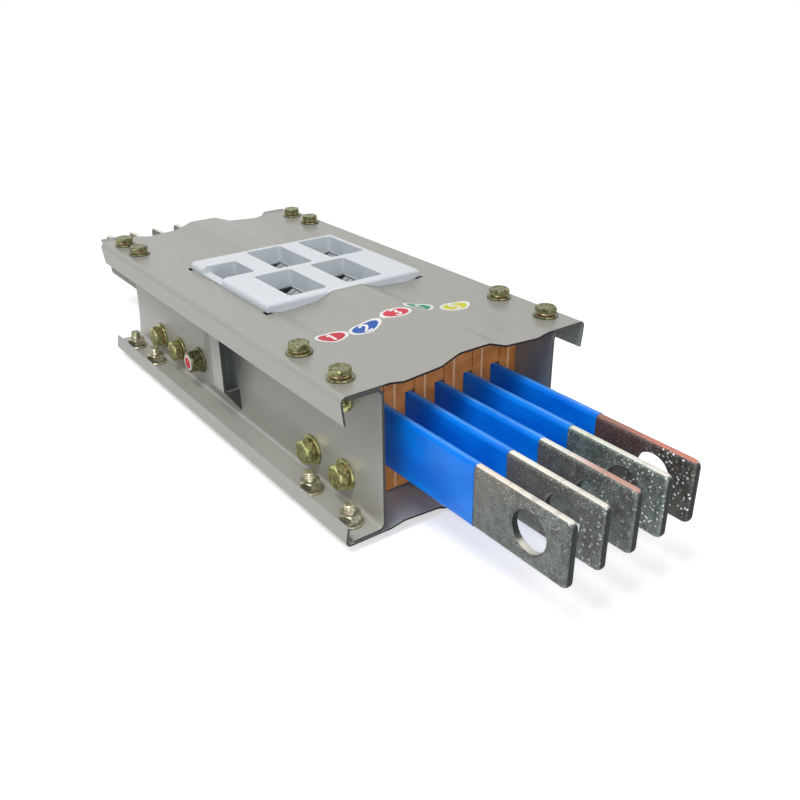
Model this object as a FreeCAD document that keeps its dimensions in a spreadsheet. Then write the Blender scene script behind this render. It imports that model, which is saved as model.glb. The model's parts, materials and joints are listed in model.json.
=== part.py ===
import FreeCAD, Part, Sketcher

import os

# Straight section of an air-insulated plug-in busway, in millimetres.
# X runs along the bars, Y across them and Z up. The origin lies on the floor
# under the middle of the section, which stands on its lower bolt heads.

V = FreeCAD.Vector

# Driving dimensions: alias, value, meaning
DIMENSIONS = (
    ("housing_length", 380.0, "length of both covers"),
    ("housing_height", 100.0, "height over the flats of both covers"),
    ("cover_sheet", 1.5, "sheet of the covers"),
    ("cover_bend", 2.5, "inside radius of a cover's bend into its lip"),
    ("press_bend", 6.0, "inside radius of the waves pressed into a cover"),
    ("lip_height", 18.5, "height of the top cover's lips"),
    ("low_lip", 13.7, "height of the bottom cover's lips"),
    ("lip_lean", 2.2, "how far a lip's free edge leans in"),
    ("lip_gap", 6.0, "from a flange's edge to the cover's side"),
    ("hump_half", 12.0, "half the flat of the middle hump"),
    ("hump_rise", 5.0, "hump above the cover's flats"),
    ("ramp_foot", 26.0, "distance from the middle to the ramp's foot"),
    ("valley_drop", 1.8, "lowest line of the valley below the cover's flats"),
    ("valley_inset", 16.0, "from a web to the valley's lowest line"),
    ("step_inset", 6.0, "from a web to the edge of a cover's flat"),
    ("panel_sheet", 2.0, "sheet of the side panels"),
    ("panel_bend", 4.0, "inside radius of a side panel's bends"),
    ("flange_run", 22.0, "flange of a side panel past its web"),
    ("horn_length", 15.0, "side panel past the covers at the far end"),
    ("arc_depth", 8.0, "depth of the concave far end of a side panel"),
    ("scoop_start", -54.0, "where the drawn scoop leaves the web"),
    ("scoop_crest", -12.0, "where the scoop reaches its full depth"),
    ("scoop_mouth", 3.5, "where the scoop ends in its open mouth"),
    ("scoop_reach", 13.0, "how far the scoop stands off the web"),
    ("scoop_half", 42.0, "half the scoop's height on the web"),
    ("mouth_half", 23.5, "half the height of the scoop's mouth"),
    ("bar_length", 642.0, "length of a bar"),
    ("bar_thick", 6.0, "thickness of a bar"),
    ("bar_width", 40.0, "width of a bar, which stands on edge"),
    ("bar_pitch", 24.0, "distance between neighbouring bars"),
    ("bar_margin", 19.0, "from an outer bar's middle to a web's inner face"),
    ("bar_corner", 4.5, "rounding of a bar's corners"),
    ("joint_hole", 25.0, "diameter of the hole at each bar end"),
    ("joint_inset", 29.0, "from a bar's tip to the middle of its hole"),
    ("short_bar", 3.0, "how much the middle bar is shorter at the near end"),
    ("sleeve_length", 500.0, "length of the insulating sleeve"),
    ("sleeve_wall", 0.35, "wall of the sleeve"),
    ("sleeve_gap", 0.05, "air between a bar and its sleeve"),
    ("spacer_length", 60.0, "length of a spacer block along the bars"),
    ("spacer_recess", 33.0, "from a cover's end to a spacer's face"),
    ("seat_gap", 0.15, "clearance between pieces that seat on each other"),
    ("seam_gap", 0.5, "open seam between two spacer blocks"),
    ("socket_start", -73.0, "far edge of the plug-in socket"),
    ("socket_end", 51.0, "near edge of the plug-in socket"),
    ("socket_inset", 4.0, "from a web's face to the side of the plug-in socket"),
    ("socket_top", 6.5, "socket above the cover's flats"),
    ("socket_rim", 4.0, "socket rim that rests on the cover"),
    ("socket_base", 16.0, "underside of the socket below the cover's flats"),
    ("socket_round", 3.0, "rounding of the socket's upper edges"),
    ("socket_brow", 5.0, "rounding of the socket's left upper edge"),
    ("socket_wall", 3.0, "wall beside the pocket that is open to the side"),
    ("pocket_depth", 13.0, "depth of a contact pocket"),
    ("pocket_margin", 6.0, "from the socket's ends to its pockets"),
    ("pocket_length", 53.0, "length of a pocket along the bars"),
    ("pocket_reach", 20.0, "pocket to the left of its bar's middle"),
    ("pocket_back", 11.0, "pocket to the right of its bar's middle"),
    ("pocket_round", 3.0, "rounding of a pocket's corners"),
    ("notch_inset", 21.0, "from the socket's far edge to the open pocket"),
    ("notch_length", 33.0, "length of the pocket that is open to the side"),
    ("near_slot", 26.0, "length of the blade slots of the near pockets"),
    ("far_slot", 20.0, "length of the blade slots of the far pockets"),
    ("slot_reach", 5.5, "blade slot to the left of its bar's middle"),
    ("slot_back", 10.5, "blade slot to the right of its bar's middle"),
    ("jaw_length", 17.0, "length of a contact jaw"),
    ("jaw_sheet", 1.5, "sheet of a contact jaw"),
    ("jaw_grip", 12.0, "overlap of a jaw on its bar"),
    ("jaw_rise", 20.0, "jaw above its bar"),
    ("window_gap", 3.0, "bare bar at each end of a jaw"),
    ("relief_size", 6.0, "corner relief of the cover's cut-out"),
    ("small_thread", 8.0, "diameter of the cover bolts"),
    ("small_flats", 13.0, "across the flats of the cover bolts"),
    ("small_head", 5.3, "height of a cover bolt's head"),
    ("small_nut", 6.5, "height of a cover bolt's nut"),
    ("small_washer", 8.5, "radius of a cover bolt's washer"),
    ("washer_sheet", 1.6, "thickness of a cover bolt's washer"),
    ("thread_end", 6.0, "thread past a nut"),
    ("bolt_offset", 13.0, "from a web's face to the cover bolts"),
    ("top_near_outer", 22.0, "from the near end to the top's outer bolts"),
    ("top_near_inner", 68.0, "from the near end to the top's inner bolts"),
    ("top_far_inner", 53.0, "from the far end to the top's inner bolts"),
    ("top_far_outer", 20.0, "from the far end to the top's outer bolts"),
    ("low_near_outer", 17.0, "from the near end to the bottom's outer bolts"),
    ("low_near_inner", 64.0, "from the near end to the bottom's inner bolts"),
    ("low_far_inner", 56.0, "from the far end to the bottom's inner bolts"),
    ("low_far_outer", 11.0, "from the far end to the bottom's outer bolts"),
    ("large_thread", 10.0, "diameter of the spacer bolts"),
    ("large_flats", 16.0, "across the flats of the spacer bolts"),
    ("large_head", 7.0, "height of a spacer bolt's head"),
    ("large_washer", 10.5, "radius of a spacer bolt's washer"),
    ("large_plate", 2.0, "thickness of a spacer bolt's washer"),
    ("large_grip", 11.0, "spacer bolt inside the web's inner face"),
    ("side_near_outer", 8.0, "from the near spacers' face to their outer bolts"),
    ("side_near_inner", 48.0, "from the near spacers' face to their inner bolts"),
    ("side_far_inner", 52.0, "from the far spacers' face to their inner bolts"),
    ("side_far_outer", 12.0, "from the far spacers' face to their outer bolts"),
    ("side_drop", 28.0, "spacer bolts above and below the bars' middle"),
    ("earth_place", -66.0, "earth bolt along the web"),
    ("earth_drop", 24.0, "earth bolt below the bars' middle"),
    ("earth_head", 9.0, "height of the earth bolt's head"),
    ("bolt_play", 0.4, "radial clearance of every bolt hole"),
    ("drill_reach", 12.0, "how far a drilled hole is cut past its sheet"),
)

doc = FreeCAD.newDocument("busway_section")
sheet = doc.addObject("Spreadsheet::Sheet", "Dims")
for row, (alias, value, meaning) in enumerate(DIMENSIONS, start=1):
    sheet.set("A%d" % row, str(value))
    sheet.setAlias("A%d" % row, alias)
    sheet.set("B%d" % row, meaning)
doc.recompute()

# Heights that several pieces share, measured from the floor
LIFT = "Dims.small_head"
ROOF = "(%s + Dims.housing_height)" % LIFT
MIDDLE = "(%s + Dims.housing_height / 2)" % LIFT

# Distances from the middle of the section, which its stack of bars sets
HALF = "Dims.housing_length / 2"
WEB_INNER = "(2 * Dims.bar_pitch + Dims.bar_margin)"
WEB_FACE = "(%s + Dims.panel_sheet)" % WEB_INNER
FLANGE_EDGE = "(%s + Dims.flange_run)" % WEB_FACE
COVER_EDGE = "(%s + Dims.lip_gap)" % FLANGE_EDGE
BOLT_LINE = "(%s + Dims.bolt_offset)" % WEB_FACE
SPACER_FACE = "(%s - Dims.spacer_recess)" % HALF

# Small round pieces are prisms: a washer's rim has more sides than a shank or a hole
RIM_SIDES = 12
SHANK_SIDES = 8

nodes = []


def bind(item, **expressions):
    """Binds properties of an object to expressions on the sheet."""
    for name, expression in expressions.items():
        item.setExpression(name.replace("__", "."), expression)


def place(item, x="0", y="0", z="0"):
    """Binds the base point of an object's placement."""
    bind(item, Placement__Base__x=x, Placement__Base__y=y, Placement__Base__z=z)


def add_box(name, x, y, z):
    """A box from pairs of (start, end) expressions along each axis."""
    box = doc.addObject("Part::Box", name)
    place(box, x[0], y[0], z[0])
    bind(box, Length="(%s) - (%s)" % (x[1], x[0]), Width="(%s) - (%s)" % (y[1], y[0]),
         Height="(%s) - (%s)" % (z[1], z[0]))
    return box


def add_cylinder(name, radius, height, base):
    """A cylinder from its base point along +Y."""
    cylinder = doc.addObject("Part::Cylinder", name)
    cylinder.Placement.Rotation = FreeCAD.Rotation(V(1, 0, 0), -90)
    bind(cylinder, Radius=radius, Height=height)
    place(cylinder, *base)
    return cylinder


def add_prism(name, sides, radius, height, base, axis):
    """A prism from its base point along Y, -Y, Z or -Z, its corners at a radius."""
    turns = {"Y": (V(1, 0, 0), -90), "-Y": (V(1, 0, 0), 90),
             "Z": (V(0, 0, 1), 0), "-Z": (V(1, 0, 0), 180)}
    prism = doc.addObject("Part::Prism", name)
    prism.Placement.Rotation = FreeCAD.Rotation(*turns[axis])
    prism.Polygon = sides
    bind(prism, Circumradius=radius, Height=height)
    place(prism, *base)
    return prism


def add_bore(name, radius, height, base, axis):
    """A tool for a small round hole, whose flats lie at the hole's radius."""
    return add_prism(name, SHANK_SIDES, "(%s) / cos(180 / %d)" % (radius, SHANK_SIDES),
                     height, base, axis)


def fuse(name, items):
    """One solid out of several that touch or overlap."""
    joined = doc.addObject("Part::MultiFuse", name)
    joined.Shapes = items
    joined.Refine = True
    return joined


def cut(name, base, tools):
    """A solid less all of its tools."""
    tool = tools[0] if len(tools) == 1 else fuse(name + "_tools", tools)
    result = doc.addObject("Part::Cut", name)
    result.Base = base
    result.Tool = tool
    return result


def row_of(name, items):
    """Like pieces that don't touch, kept together in one node."""
    group = doc.addObject("Part::Compound", name)
    group.Links = items
    return group


def keep(item, label):
    """Marks an object as a finished piece under its own name."""
    item.Label = label
    nodes.append(item)
    return item


def draw_line(name, corners, plane="YZ", offset="0", closed=False):
    """A sketch of straight lines whose corners are dimensioned from the sheet."""
    sketch = doc.addObject("Sketcher::SketchObject", name)
    if plane == "YZ":
        sketch.Placement.Rotation = FreeCAD.Rotation(V(1, 1, 1), 120)
        place(sketch, x=offset)
    else:
        sketch.Placement.Rotation = FreeCAD.Rotation(V(1, 0, 0), 90)
        place(sketch, y=offset)
    points = [V(sheet.evalExpression(u), sheet.evalExpression(v), 0) for u, v in corners]
    count = len(points) if closed else len(points) - 1
    for index in range(count):
        sketch.addGeometry(Part.LineSegment(points[index], points[(index + 1) % len(points)]))
    for index in range(count if closed else count - 1):
        sketch.addConstraint(Sketcher.Constraint("Coincident", index, 2, (index + 1) % count, 1))
    ends = [(index, 1) for index in range(count)]
    if not closed:
        ends.append((count - 1, 2))
    for (line, end), (u, v), point in zip(ends, corners, points):
        for kind, expression, value in (("DistanceX", u, point.x), ("DistanceY", v, point.y)):
            number = sketch.addConstraint(Sketcher.Constraint(kind, -1, 1, line, end, value))
            sketch.setExpression("Constraints[%d]" % number, expression)
    return sketch


def bend_sheet(name, corners, thickness, insides, start, length):
    """A sheet bent along a line in the YZ plane, with one inside radius for each bend."""
    line = draw_line(name + "_line", corners, offset=start)
    band = doc.addObject("Part::Offset2D", name + "_band")
    band.Source = line
    band.Mode = "Skin"
    band.Join = "Intersection"
    band.Fill = True
    bind(band, Value=thickness)
    run = doc.addObject("Part::Extrusion", name + "_run")
    run.Base = band
    run.DirMode = "Custom"
    run.Dir = V(1, 0, 0)
    run.Solid = True
    bind(run, LengthFwd=length)
    doc.recompute()
    bent = doc.addObject("Part::Fillet", name)
    bent.Base = run
    bent.Edges = bend_edges(run.Shape, corners, sheet.evalExpression(thickness), insides)
    return bent


def bend_edges(shape, corners, wall, insides):
    """Edges along X at the inner corners, each with its inside or outside radius."""
    points = [V(0, sheet.evalExpression(u), sheet.evalExpression(v)) for u, v in corners]
    chosen = []
    for before, corner, after, inside in zip(points, points[1:], points[2:], insides):
        turns_right = (corner - before).cross(after - corner).x < 0
        for number, edge in enumerate(shape.Edges, start=1):
            middle = edge.CenterOfMass
            gap = V(0, middle.y - corner.y, middle.z - corner.z).Length
            if abs(edge.tangentAt(edge.FirstParameter).x) < 0.99 or gap > 2 * wall:
                continue
            convex = (gap < wall / 4) == turns_right
            radius = sheet.evalExpression(inside) + (wall if convex else 0)
            chosen.append((number, radius, radius))
    return chosen


def round_edges(name, base, radius_of):
    """Rounds each edge of a solid by radius_of(edge), and none where that is None."""
    doc.recompute()
    chosen = []
    for number, edge in enumerate(base.Shape.Edges, start=1):
        radius = radius_of(edge)
        if radius is not None:
            value = sheet.evalExpression(radius)
            chosen.append((number, value, value))
    rounded = doc.addObject("Part::Fillet", name)
    rounded.Base = base
    rounded.Edges = chosen
    return rounded


def edges_along(axis, radius):
    """One radius for every edge parallel to an axis."""
    return lambda edge: radius if abs(edge.tangentAt(edge.FirstParameter).dot(axis)) > 0.99 else None


def mirror(name, source, normal):
    """A mirrored copy across the middle plane square to a direction."""
    copy = doc.addObject("Part::Mirroring", name)
    copy.Source = source
    copy.Normal = normal
    return copy


# Covers: one pressed sheet each, corrugated, with a lip down each long side

STEP_EDGE = "(%s - Dims.step_inset)" % WEB_FACE
VALLEY_LINE = "(%s - Dims.valley_inset)" % WEB_FACE


def corrugation(level, sign):
    """Corners of a cover between its bends, from -Y to +Y."""
    half = (
        (STEP_EDGE, "0"),
        (VALLEY_LINE, "-Dims.valley_drop"),
        ("Dims.ramp_foot", "0"),
        ("Dims.hump_half", "Dims.hump_rise"),
    )
    left = [("-" + u, "%s %s (%s)" % (level, sign, v)) for u, v in half]
    right = [(u, "%s %s (%s)" % (level, sign, v)) for u, v in reversed(half)]
    return left + right


def cover_line(level, sign, lip):
    """Corners of a cover's outer skin, lips included."""
    inward = "-" if sign == "+" else "+"
    lean = "(%s - Dims.lip_lean)" % COVER_EDGE
    foot = "%s %s %s" % (level, inward, lip)
    corners = [("-" + lean, foot), ("-" + COVER_EDGE, level)]
    corners += corrugation(level, sign)
    corners += [(COVER_EDGE, level), (lean, foot)]
    return corners if sign == "+" else corners[::-1]


COVER_BENDS = ["Dims.cover_bend"] + 8 * ["Dims.press_bend"] + ["Dims.cover_bend"]

SMALL_HOLE = "Dims.small_thread / 2 + Dims.bolt_play"
LARGE_HOLE = "Dims.large_thread / 2 + Dims.bolt_play"
TOP_PLACES = ("%s - Dims.top_near_outer" % HALF, "%s - Dims.top_near_inner" % HALF,
              "-%s + Dims.top_far_inner" % HALF, "-%s + Dims.top_far_outer" % HALF)
LOW_PLACES = ("%s - Dims.low_near_outer" % HALF, "%s - Dims.low_near_inner" % HALF,
              "-%s + Dims.low_far_inner" % HALF, "-%s + Dims.low_far_outer" % HALF)
SIDE_PLACES = ("%s - Dims.side_near_outer" % SPACER_FACE, "%s - Dims.side_near_inner" % SPACER_FACE,
               "-%s + Dims.side_far_inner" % SPACER_FACE, "-%s + Dims.side_far_outer" % SPACER_FACE)
SIDES = (("left", "-", "-Y"), ("right", "", "Y"))
OPPOSITE = {"Y": "-Y", "-Y": "Y", "Z": "-Z", "-Z": "Z"}
LEVELS = (("low", MIDDLE + " - Dims.side_drop"), ("high", MIDDLE + " + Dims.side_drop"))


def drill(name, radius, spots, axis="Z"):
    """Tools for like holes, each running both ways from its (x, y, z) spot."""
    tools = []
    for index, (x, y, z) in enumerate(spots, start=1):
        base = (x, y, z + " - Dims.drill_reach") if axis == "Z" else (x, y + " - Dims.drill_reach", z)
        tools.append(add_bore("%s_%d" % (name, index), radius, "2 * Dims.drill_reach", base, axis))
    return row_of(name, tools)


def cover_bolt_spots(places, level):
    """Spots of the cover bolts in both flanges."""
    return [(x, sign + BOLT_LINE, level) for side, sign, outward in SIDES for x in places]


top_sheet = bend_sheet("top_sheet", cover_line(ROOF, "+", "Dims.lip_height"),
                       "Dims.cover_sheet", COVER_BENDS, "-" + HALF, "Dims.housing_length")
low_sheet = bend_sheet("low_sheet", cover_line(LIFT, "-", "Dims.low_lip"),
                       "Dims.cover_sheet", COVER_BENDS, "-" + HALF, "Dims.housing_length")

PLUG_START = "Dims.socket_start + Dims.socket_rim"
PLUG_END = "Dims.socket_end - Dims.socket_rim"
SOCKET_HALF = "(%s - Dims.socket_inset)" % WEB_FACE
PLUG_HALF = "(%s - Dims.socket_rim)" % SOCKET_HALF
CUTOUT_HEIGHT = ("%s - Dims.socket_base" % ROOF, "%s + Dims.socket_base" % ROOF)

cutout = add_box("cutout", (PLUG_START + " - Dims.seat_gap", PLUG_END + " + Dims.seat_gap"),
                 ("-%s - Dims.seat_gap" % PLUG_HALF, PLUG_HALF + " + Dims.seat_gap"),
                 CUTOUT_HEIGHT)
relief_ends = ((PLUG_START + " - Dims.relief_size", PLUG_START),
               (PLUG_END, PLUG_END + " + Dims.relief_size"))
relief_sides = (("-%s - Dims.relief_size" % PLUG_HALF, "-" + PLUG_HALF),
                (PLUG_HALF, PLUG_HALF + " + Dims.relief_size"))
reliefs = [add_box("relief_%d%d" % (end, side), x, y, CUTOUT_HEIGHT)
           for end, x in enumerate(relief_ends) for side, y in enumerate(relief_sides)]

top_holes = drill("top_holes", SMALL_HOLE, cover_bolt_spots(TOP_PLACES, ROOF))
low_holes = drill("low_holes", SMALL_HOLE, cover_bolt_spots(LOW_PLACES, LIFT))

keep(cut("top_cover_cut", top_sheet, [cutout] + reliefs + [top_holes]), "top_cover")
keep(cut("bottom_cover_cut", low_sheet, [low_holes]), "bottom_cover")

# Side panels: channels with their flanges outward, a concave far end and a scoop

PANEL_TOP = "(%s - Dims.cover_sheet)" % ROOF
PANEL_LOW = "(%s + Dims.cover_sheet)" % LIFT
PANEL_START = "(-%s - Dims.horn_length)" % HALF

channel_line = [
    ("-" + FLANGE_EDGE, PANEL_TOP),
    ("-" + WEB_INNER, PANEL_TOP),
    ("-" + WEB_INNER, PANEL_LOW),
    ("-" + FLANGE_EDGE, PANEL_LOW),
]
channel = bend_sheet("channel", channel_line, "Dims.panel_sheet", 2 * ["Dims.panel_bend"], PANEL_START,
                     "Dims.housing_length + Dims.horn_length")

WEB_HALF = "(Dims.housing_height / 2 - Dims.cover_sheet - Dims.panel_sheet)"
ARC_RADIUS = "((%s ^ 2 + Dims.arc_depth ^ 2) / (2 * Dims.arc_depth))" % WEB_HALF
end_arc = add_cylinder("end_arc", ARC_RADIUS, "2 * Dims.drill_reach",
                       ("%s + Dims.arc_depth - %s" % (PANEL_START, ARC_RADIUS),
                        "-%s - Dims.drill_reach" % WEB_FACE, MIDDLE))


def scoop_form(name, shrink):
    """The scoop as a tapered solid off the web, smaller by shrink all round."""
    base = [("Dims.scoop_start + 2 * (%s)" % shrink, "%s - Dims.scoop_half + %s" % (MIDDLE, shrink)),
            ("Dims.scoop_mouth - (%s)" % shrink, "%s - Dims.scoop_half + %s" % (MIDDLE, shrink)),
            ("Dims.scoop_mouth - (%s)" % shrink, "%s + Dims.scoop_half - %s" % (MIDDLE, shrink)),
            ("Dims.scoop_start + 2 * (%s)" % shrink, "%s + Dims.scoop_half - %s" % (MIDDLE, shrink))]
    crest = [("Dims.scoop_crest", "%s - Dims.mouth_half" % MIDDLE),
             ("Dims.scoop_mouth - (%s)" % shrink, "%s - Dims.mouth_half" % MIDDLE),
             ("Dims.scoop_mouth - (%s)" % shrink, "%s + Dims.mouth_half" % MIDDLE),
             ("Dims.scoop_crest", "%s + Dims.mouth_half" % MIDDLE)]
    root = "-" + (WEB_FACE if shrink == "0" else WEB_INNER)
    foot = draw_line(name + "_foot", base, "XZ", root, closed=True)
    top = draw_line(name + "_top", crest, "XZ",
                    "-%s - Dims.scoop_reach + (%s)" % (WEB_FACE, shrink), closed=True)
    form = doc.addObject("Part::Loft", name)
    form.Sections = [foot, top]
    form.Solid = True
    form.Ruled = True
    return form


scoop_outer = scoop_form("scoop_outer", "0")
scoop_inner = scoop_form("scoop_inner", "Dims.panel_sheet")
mouth = add_box("mouth", ("Dims.scoop_mouth - 2 * Dims.panel_sheet",
                          "Dims.scoop_mouth + Dims.panel_sheet"),
                ("-%s - Dims.scoop_reach + Dims.panel_sheet" % WEB_FACE, "-" + WEB_FACE),
                (MIDDLE + " - Dims.mouth_half", MIDDLE + " + Dims.mouth_half"))


EARTH_LEVEL = MIDDLE + " - Dims.earth_drop"


def side_bolt_spots(y, with_earth):
    """Spots of the spacer bolts in a web, with the earth bolt where it has one."""
    spots = [(x, y, z) for level, z in LEVELS for x in SIDE_PLACES]
    if with_earth:
        spots.append(("Dims.earth_place", y, EARTH_LEVEL))
    return spots


def flange_spots(y):
    """Spots of the cover bolts in the two flanges of one side."""
    spots = [(x, y, PANEL_TOP) for x in TOP_PLACES]
    return spots + [(x, y, PANEL_LOW) for x in LOW_PLACES]


web_with_scoop = fuse("web_with_scoop", [channel, scoop_outer])
pressed_panel = cut("pressed_panel", web_with_scoop, [scoop_inner, mouth, end_arc])
panels = {"left": pressed_panel, "right": mirror("mirrored_panel", pressed_panel, V(0, 1, 0))}
for side, sign, outward in SIDES:
    web_holes = drill("web_holes_" + side, LARGE_HOLE,
                      side_bolt_spots(sign + WEB_FACE, side == "left"), "Y")
    flange_holes = drill("flange_holes_" + side, SMALL_HOLE, flange_spots(sign + BOLT_LINE))
    keep(cut("panel_cut_" + side, panels[side], [web_holes, flange_holes]), "side_panel_" + side)

# Bars: five flat conductors on edge, each in its sleeve, with a joint hole at both ends

BARS = range(1, 6)
BAR_TIP = "(Dims.bar_length / 2)"
HALF_THICK = "(Dims.bar_thick / 2)"
HALF_WIDTH = "(Dims.bar_width / 2)"
SLEEVE_OUTER = "(Dims.sleeve_gap + Dims.sleeve_wall)"
CAVITY = "(Dims.sleeve_gap + Dims.sleeve_wall + Dims.seat_gap)"


def bar_y(number):
    """Middle of a bar across the section."""
    return "(%d * Dims.bar_pitch)" % (number - 3)


def around_bar(name, number, x, margin):
    """A box around a bar between two places, larger by a margin on four sides."""
    return add_box(name, x,
                   ("%s - %s - %s" % (bar_y(number), HALF_THICK, margin),
                    "%s + %s + %s" % (bar_y(number), HALF_THICK, margin)),
                   ("%s - %s - %s" % (MIDDLE, HALF_WIDTH, margin),
                    "%s + %s + %s" % (MIDDLE, HALF_WIDTH, margin)))


def pocket_run(number):
    """Start and length of the pocket over a bar, and the length of its blade slot."""
    if number == 1:
        return "(Dims.socket_start + Dims.notch_inset)", "Dims.notch_length", "Dims.far_slot"
    if number % 2:
        return "(Dims.socket_start + Dims.pocket_margin)", "Dims.pocket_length", "Dims.far_slot"
    start = "(Dims.socket_end - Dims.pocket_margin - Dims.pocket_length)"
    return start, "Dims.pocket_length", "Dims.near_slot"


def jaw_middle(number):
    """Middle of the blade slot and of the jaw under it."""
    start, length, slot = pocket_run(number)
    return "(%s + %s / 2)" % (start, slot)


for number in BARS:
    near_tip = BAR_TIP + (" - Dims.short_bar" if number == 3 else "")
    blank = around_bar("bar_blank_%d" % number, number, ("-" + BAR_TIP, near_tip), "0")
    rounded = round_edges("bar_rounded_%d" % number, blank,
                          edges_along(V(0, 1, 0), "Dims.bar_corner"))
    holes = [add_cylinder("joint_hole_%s_%d" % (end, number), "Dims.joint_hole / 2",
                          "2 * Dims.bar_thick",
                          ("%s(%s - Dims.joint_inset)" % (sign, BAR_TIP),
                           bar_y(number) + " - Dims.bar_thick", MIDDLE))
             for end, sign in (("far", "-"), ("near", ""))]
    keep(cut("bar_cut_%d" % number, rounded, holes), "busbar_%d" % number)

for number in BARS:
    ends = ("-Dims.sleeve_length / 2", "Dims.sleeve_length / 2")
    tube = around_bar("sleeve_tube_%d" % number, number, ends, SLEEVE_OUTER)
    core = around_bar("sleeve_core_%d" % number, number, ends, "Dims.sleeve_gap")
    bare = "(Dims.jaw_length / 2 + Dims.window_gap)"
    window = add_box("sleeve_window_%d" % number,
                     ("%s - %s" % (jaw_middle(number), bare), "%s + %s" % (jaw_middle(number), bare)),
                     ("%s - Dims.bar_thick" % bar_y(number),
                      "%s + Dims.bar_thick" % bar_y(number)),
                     ("%s + %s - Dims.jaw_grip - Dims.jaw_sheet" % (MIDDLE, HALF_WIDTH),
                      "%s + Dims.bar_width" % MIDDLE))
    keep(cut("sleeve_cut_%d" % number, tube, [core, window]), "bar_sleeve_%d" % number)

# Spacer blocks: six at each end, side by side, the first five rebated for a bar

SPACER_Z = ("%s + Dims.valley_drop + Dims.cover_sheet + Dims.seat_gap" % LIFT,
            "%s - Dims.valley_drop - Dims.cover_sheet - Dims.seat_gap" % ROOF)
SPACER_WALL = "(%s - Dims.seat_gap)" % WEB_INNER
ENDS = (("near", SPACER_FACE + " - Dims.spacer_length", SPACER_FACE),
        ("far", "-" + SPACER_FACE, "-%s + Dims.spacer_length" % SPACER_FACE))


def seam(number):
    """Where the block of a bar ends, beside the bar's +Y face."""
    return "(%s + %s + %s)" % (bar_y(number), HALF_THICK, CAVITY)


for end, start, stop in ENDS:
    for number in range(1, 7):
        low_y = "-" + SPACER_WALL if number == 1 else seam(number - 1) + " + Dims.seam_gap"
        high_y = SPACER_WALL if number == 6 else seam(number)
        tag = "%s_%d" % (end, number)
        blank = add_box("spacer_blank_" + tag, (start, stop), (low_y, high_y), SPACER_Z)
        tools = []
        if number < 6:
            tools.append(around_bar("spacer_slot_" + tag, number, (start, stop), CAVITY))
        if number in (1, 6):
            wall = "-" + SPACER_WALL if number == 1 else SPACER_WALL
            places = SIDE_PLACES[:2] if end == "near" else SIDE_PLACES[2:]
            spots = [(x, wall, z) for level, z in LEVELS for x in places]
            tools.append(drill("spacer_bores_" + tag, LARGE_HOLE, spots, "Y"))
        item = cut("spacer_cut_" + tag, blank, tools) if tools else blank
        keep(item, "spacer_" + tag)

# Plug-in socket: one moulding through the top cover, with a pocket over every bar

UNDER = "%s - Dims.socket_base" % ROOF
CREST = "(%s + Dims.socket_top)" % ROOF
FLOOR = "(%s - Dims.pocket_depth)" % CREST

rim_box = add_box("rim_box", ("Dims.socket_start", "Dims.socket_end"),
                  ("-" + SOCKET_HALF, SOCKET_HALF), ("%s - Dims.valley_drop" % ROOF, CREST))
RIM_SEAT = "(%s + Dims.seat_gap)" % ROOF
rim_foot = draw_line("rim_foot",
                     [("-" + COVER_EDGE, UNDER), ("-" + COVER_EDGE, RIM_SEAT)]
                     + corrugation(RIM_SEAT, "+")
                     + [(COVER_EDGE, RIM_SEAT), (COVER_EDGE, UNDER)],
                     offset="-" + HALF, closed=True)
cover_form = doc.addObject("Part::Extrusion", "cover_form")
cover_form.Base = rim_foot
cover_form.DirMode = "Custom"
cover_form.Dir = V(1, 0, 0)
cover_form.Solid = True
bind(cover_form, LengthFwd="Dims.housing_length")
rim = cut("rim", rim_box, [cover_form])
plug = add_box("plug", (PLUG_START, PLUG_END), ("-" + PLUG_HALF, PLUG_HALF), (UNDER, CREST))
moulding = fuse("moulding", [rim, plug])
crest_height = sheet.evalExpression(CREST)
left_side = -sheet.evalExpression(SOCKET_HALF)


def socket_rounding(edge):
    """A fuller radius along the left upper edge than along the other upper edges."""
    if edge.CenterOfMass.z < crest_height - 0.01:
        return None
    return "Dims.socket_brow" if edge.CenterOfMass.y < left_side + 0.01 else "Dims.socket_round"


soft_moulding = round_edges("soft_moulding", moulding, socket_rounding)

ABOVE = CREST + " + Dims.drill_reach"
pockets = []
for number in BARS:
    start, length, slot = pocket_run(number)
    x = (start, "%s + %s" % (start, length))
    low_y = "%s - Dims.pocket_reach" % bar_y(number)
    high_y = "%s + Dims.pocket_back" % bar_y(number)
    if number == 1:
        low_y = "-%s + Dims.socket_wall" % PLUG_HALF
        mouth_y = ("-%s - Dims.socket_rim" % SOCKET_HALF, low_y + " + Dims.pocket_round")
        pockets.append(add_box("pocket_mouth", x, mouth_y, ("%s + Dims.cover_sheet" % ROOF, ABOVE)))
    pocket = add_box("pocket_%d" % number, x, (low_y, high_y), (FLOOR, ABOVE))
    pockets.append(round_edges("pocket_round_%d" % number, pocket,
                               edges_along(V(0, 0, 1), "Dims.pocket_round")))
    pockets.append(add_box("slot_%d" % number, (start, "%s + %s" % (start, slot)),
                           ("%s - Dims.slot_reach" % bar_y(number),
                            "%s + Dims.slot_back" % bar_y(number)),
                           ("%s - Dims.socket_rim" % UNDER, FLOOR)))
keep(cut("socket_cut", soft_moulding, pockets), "plug_socket")

# Contact jaws: forks on the bars that grip the blades of a plug

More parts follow.
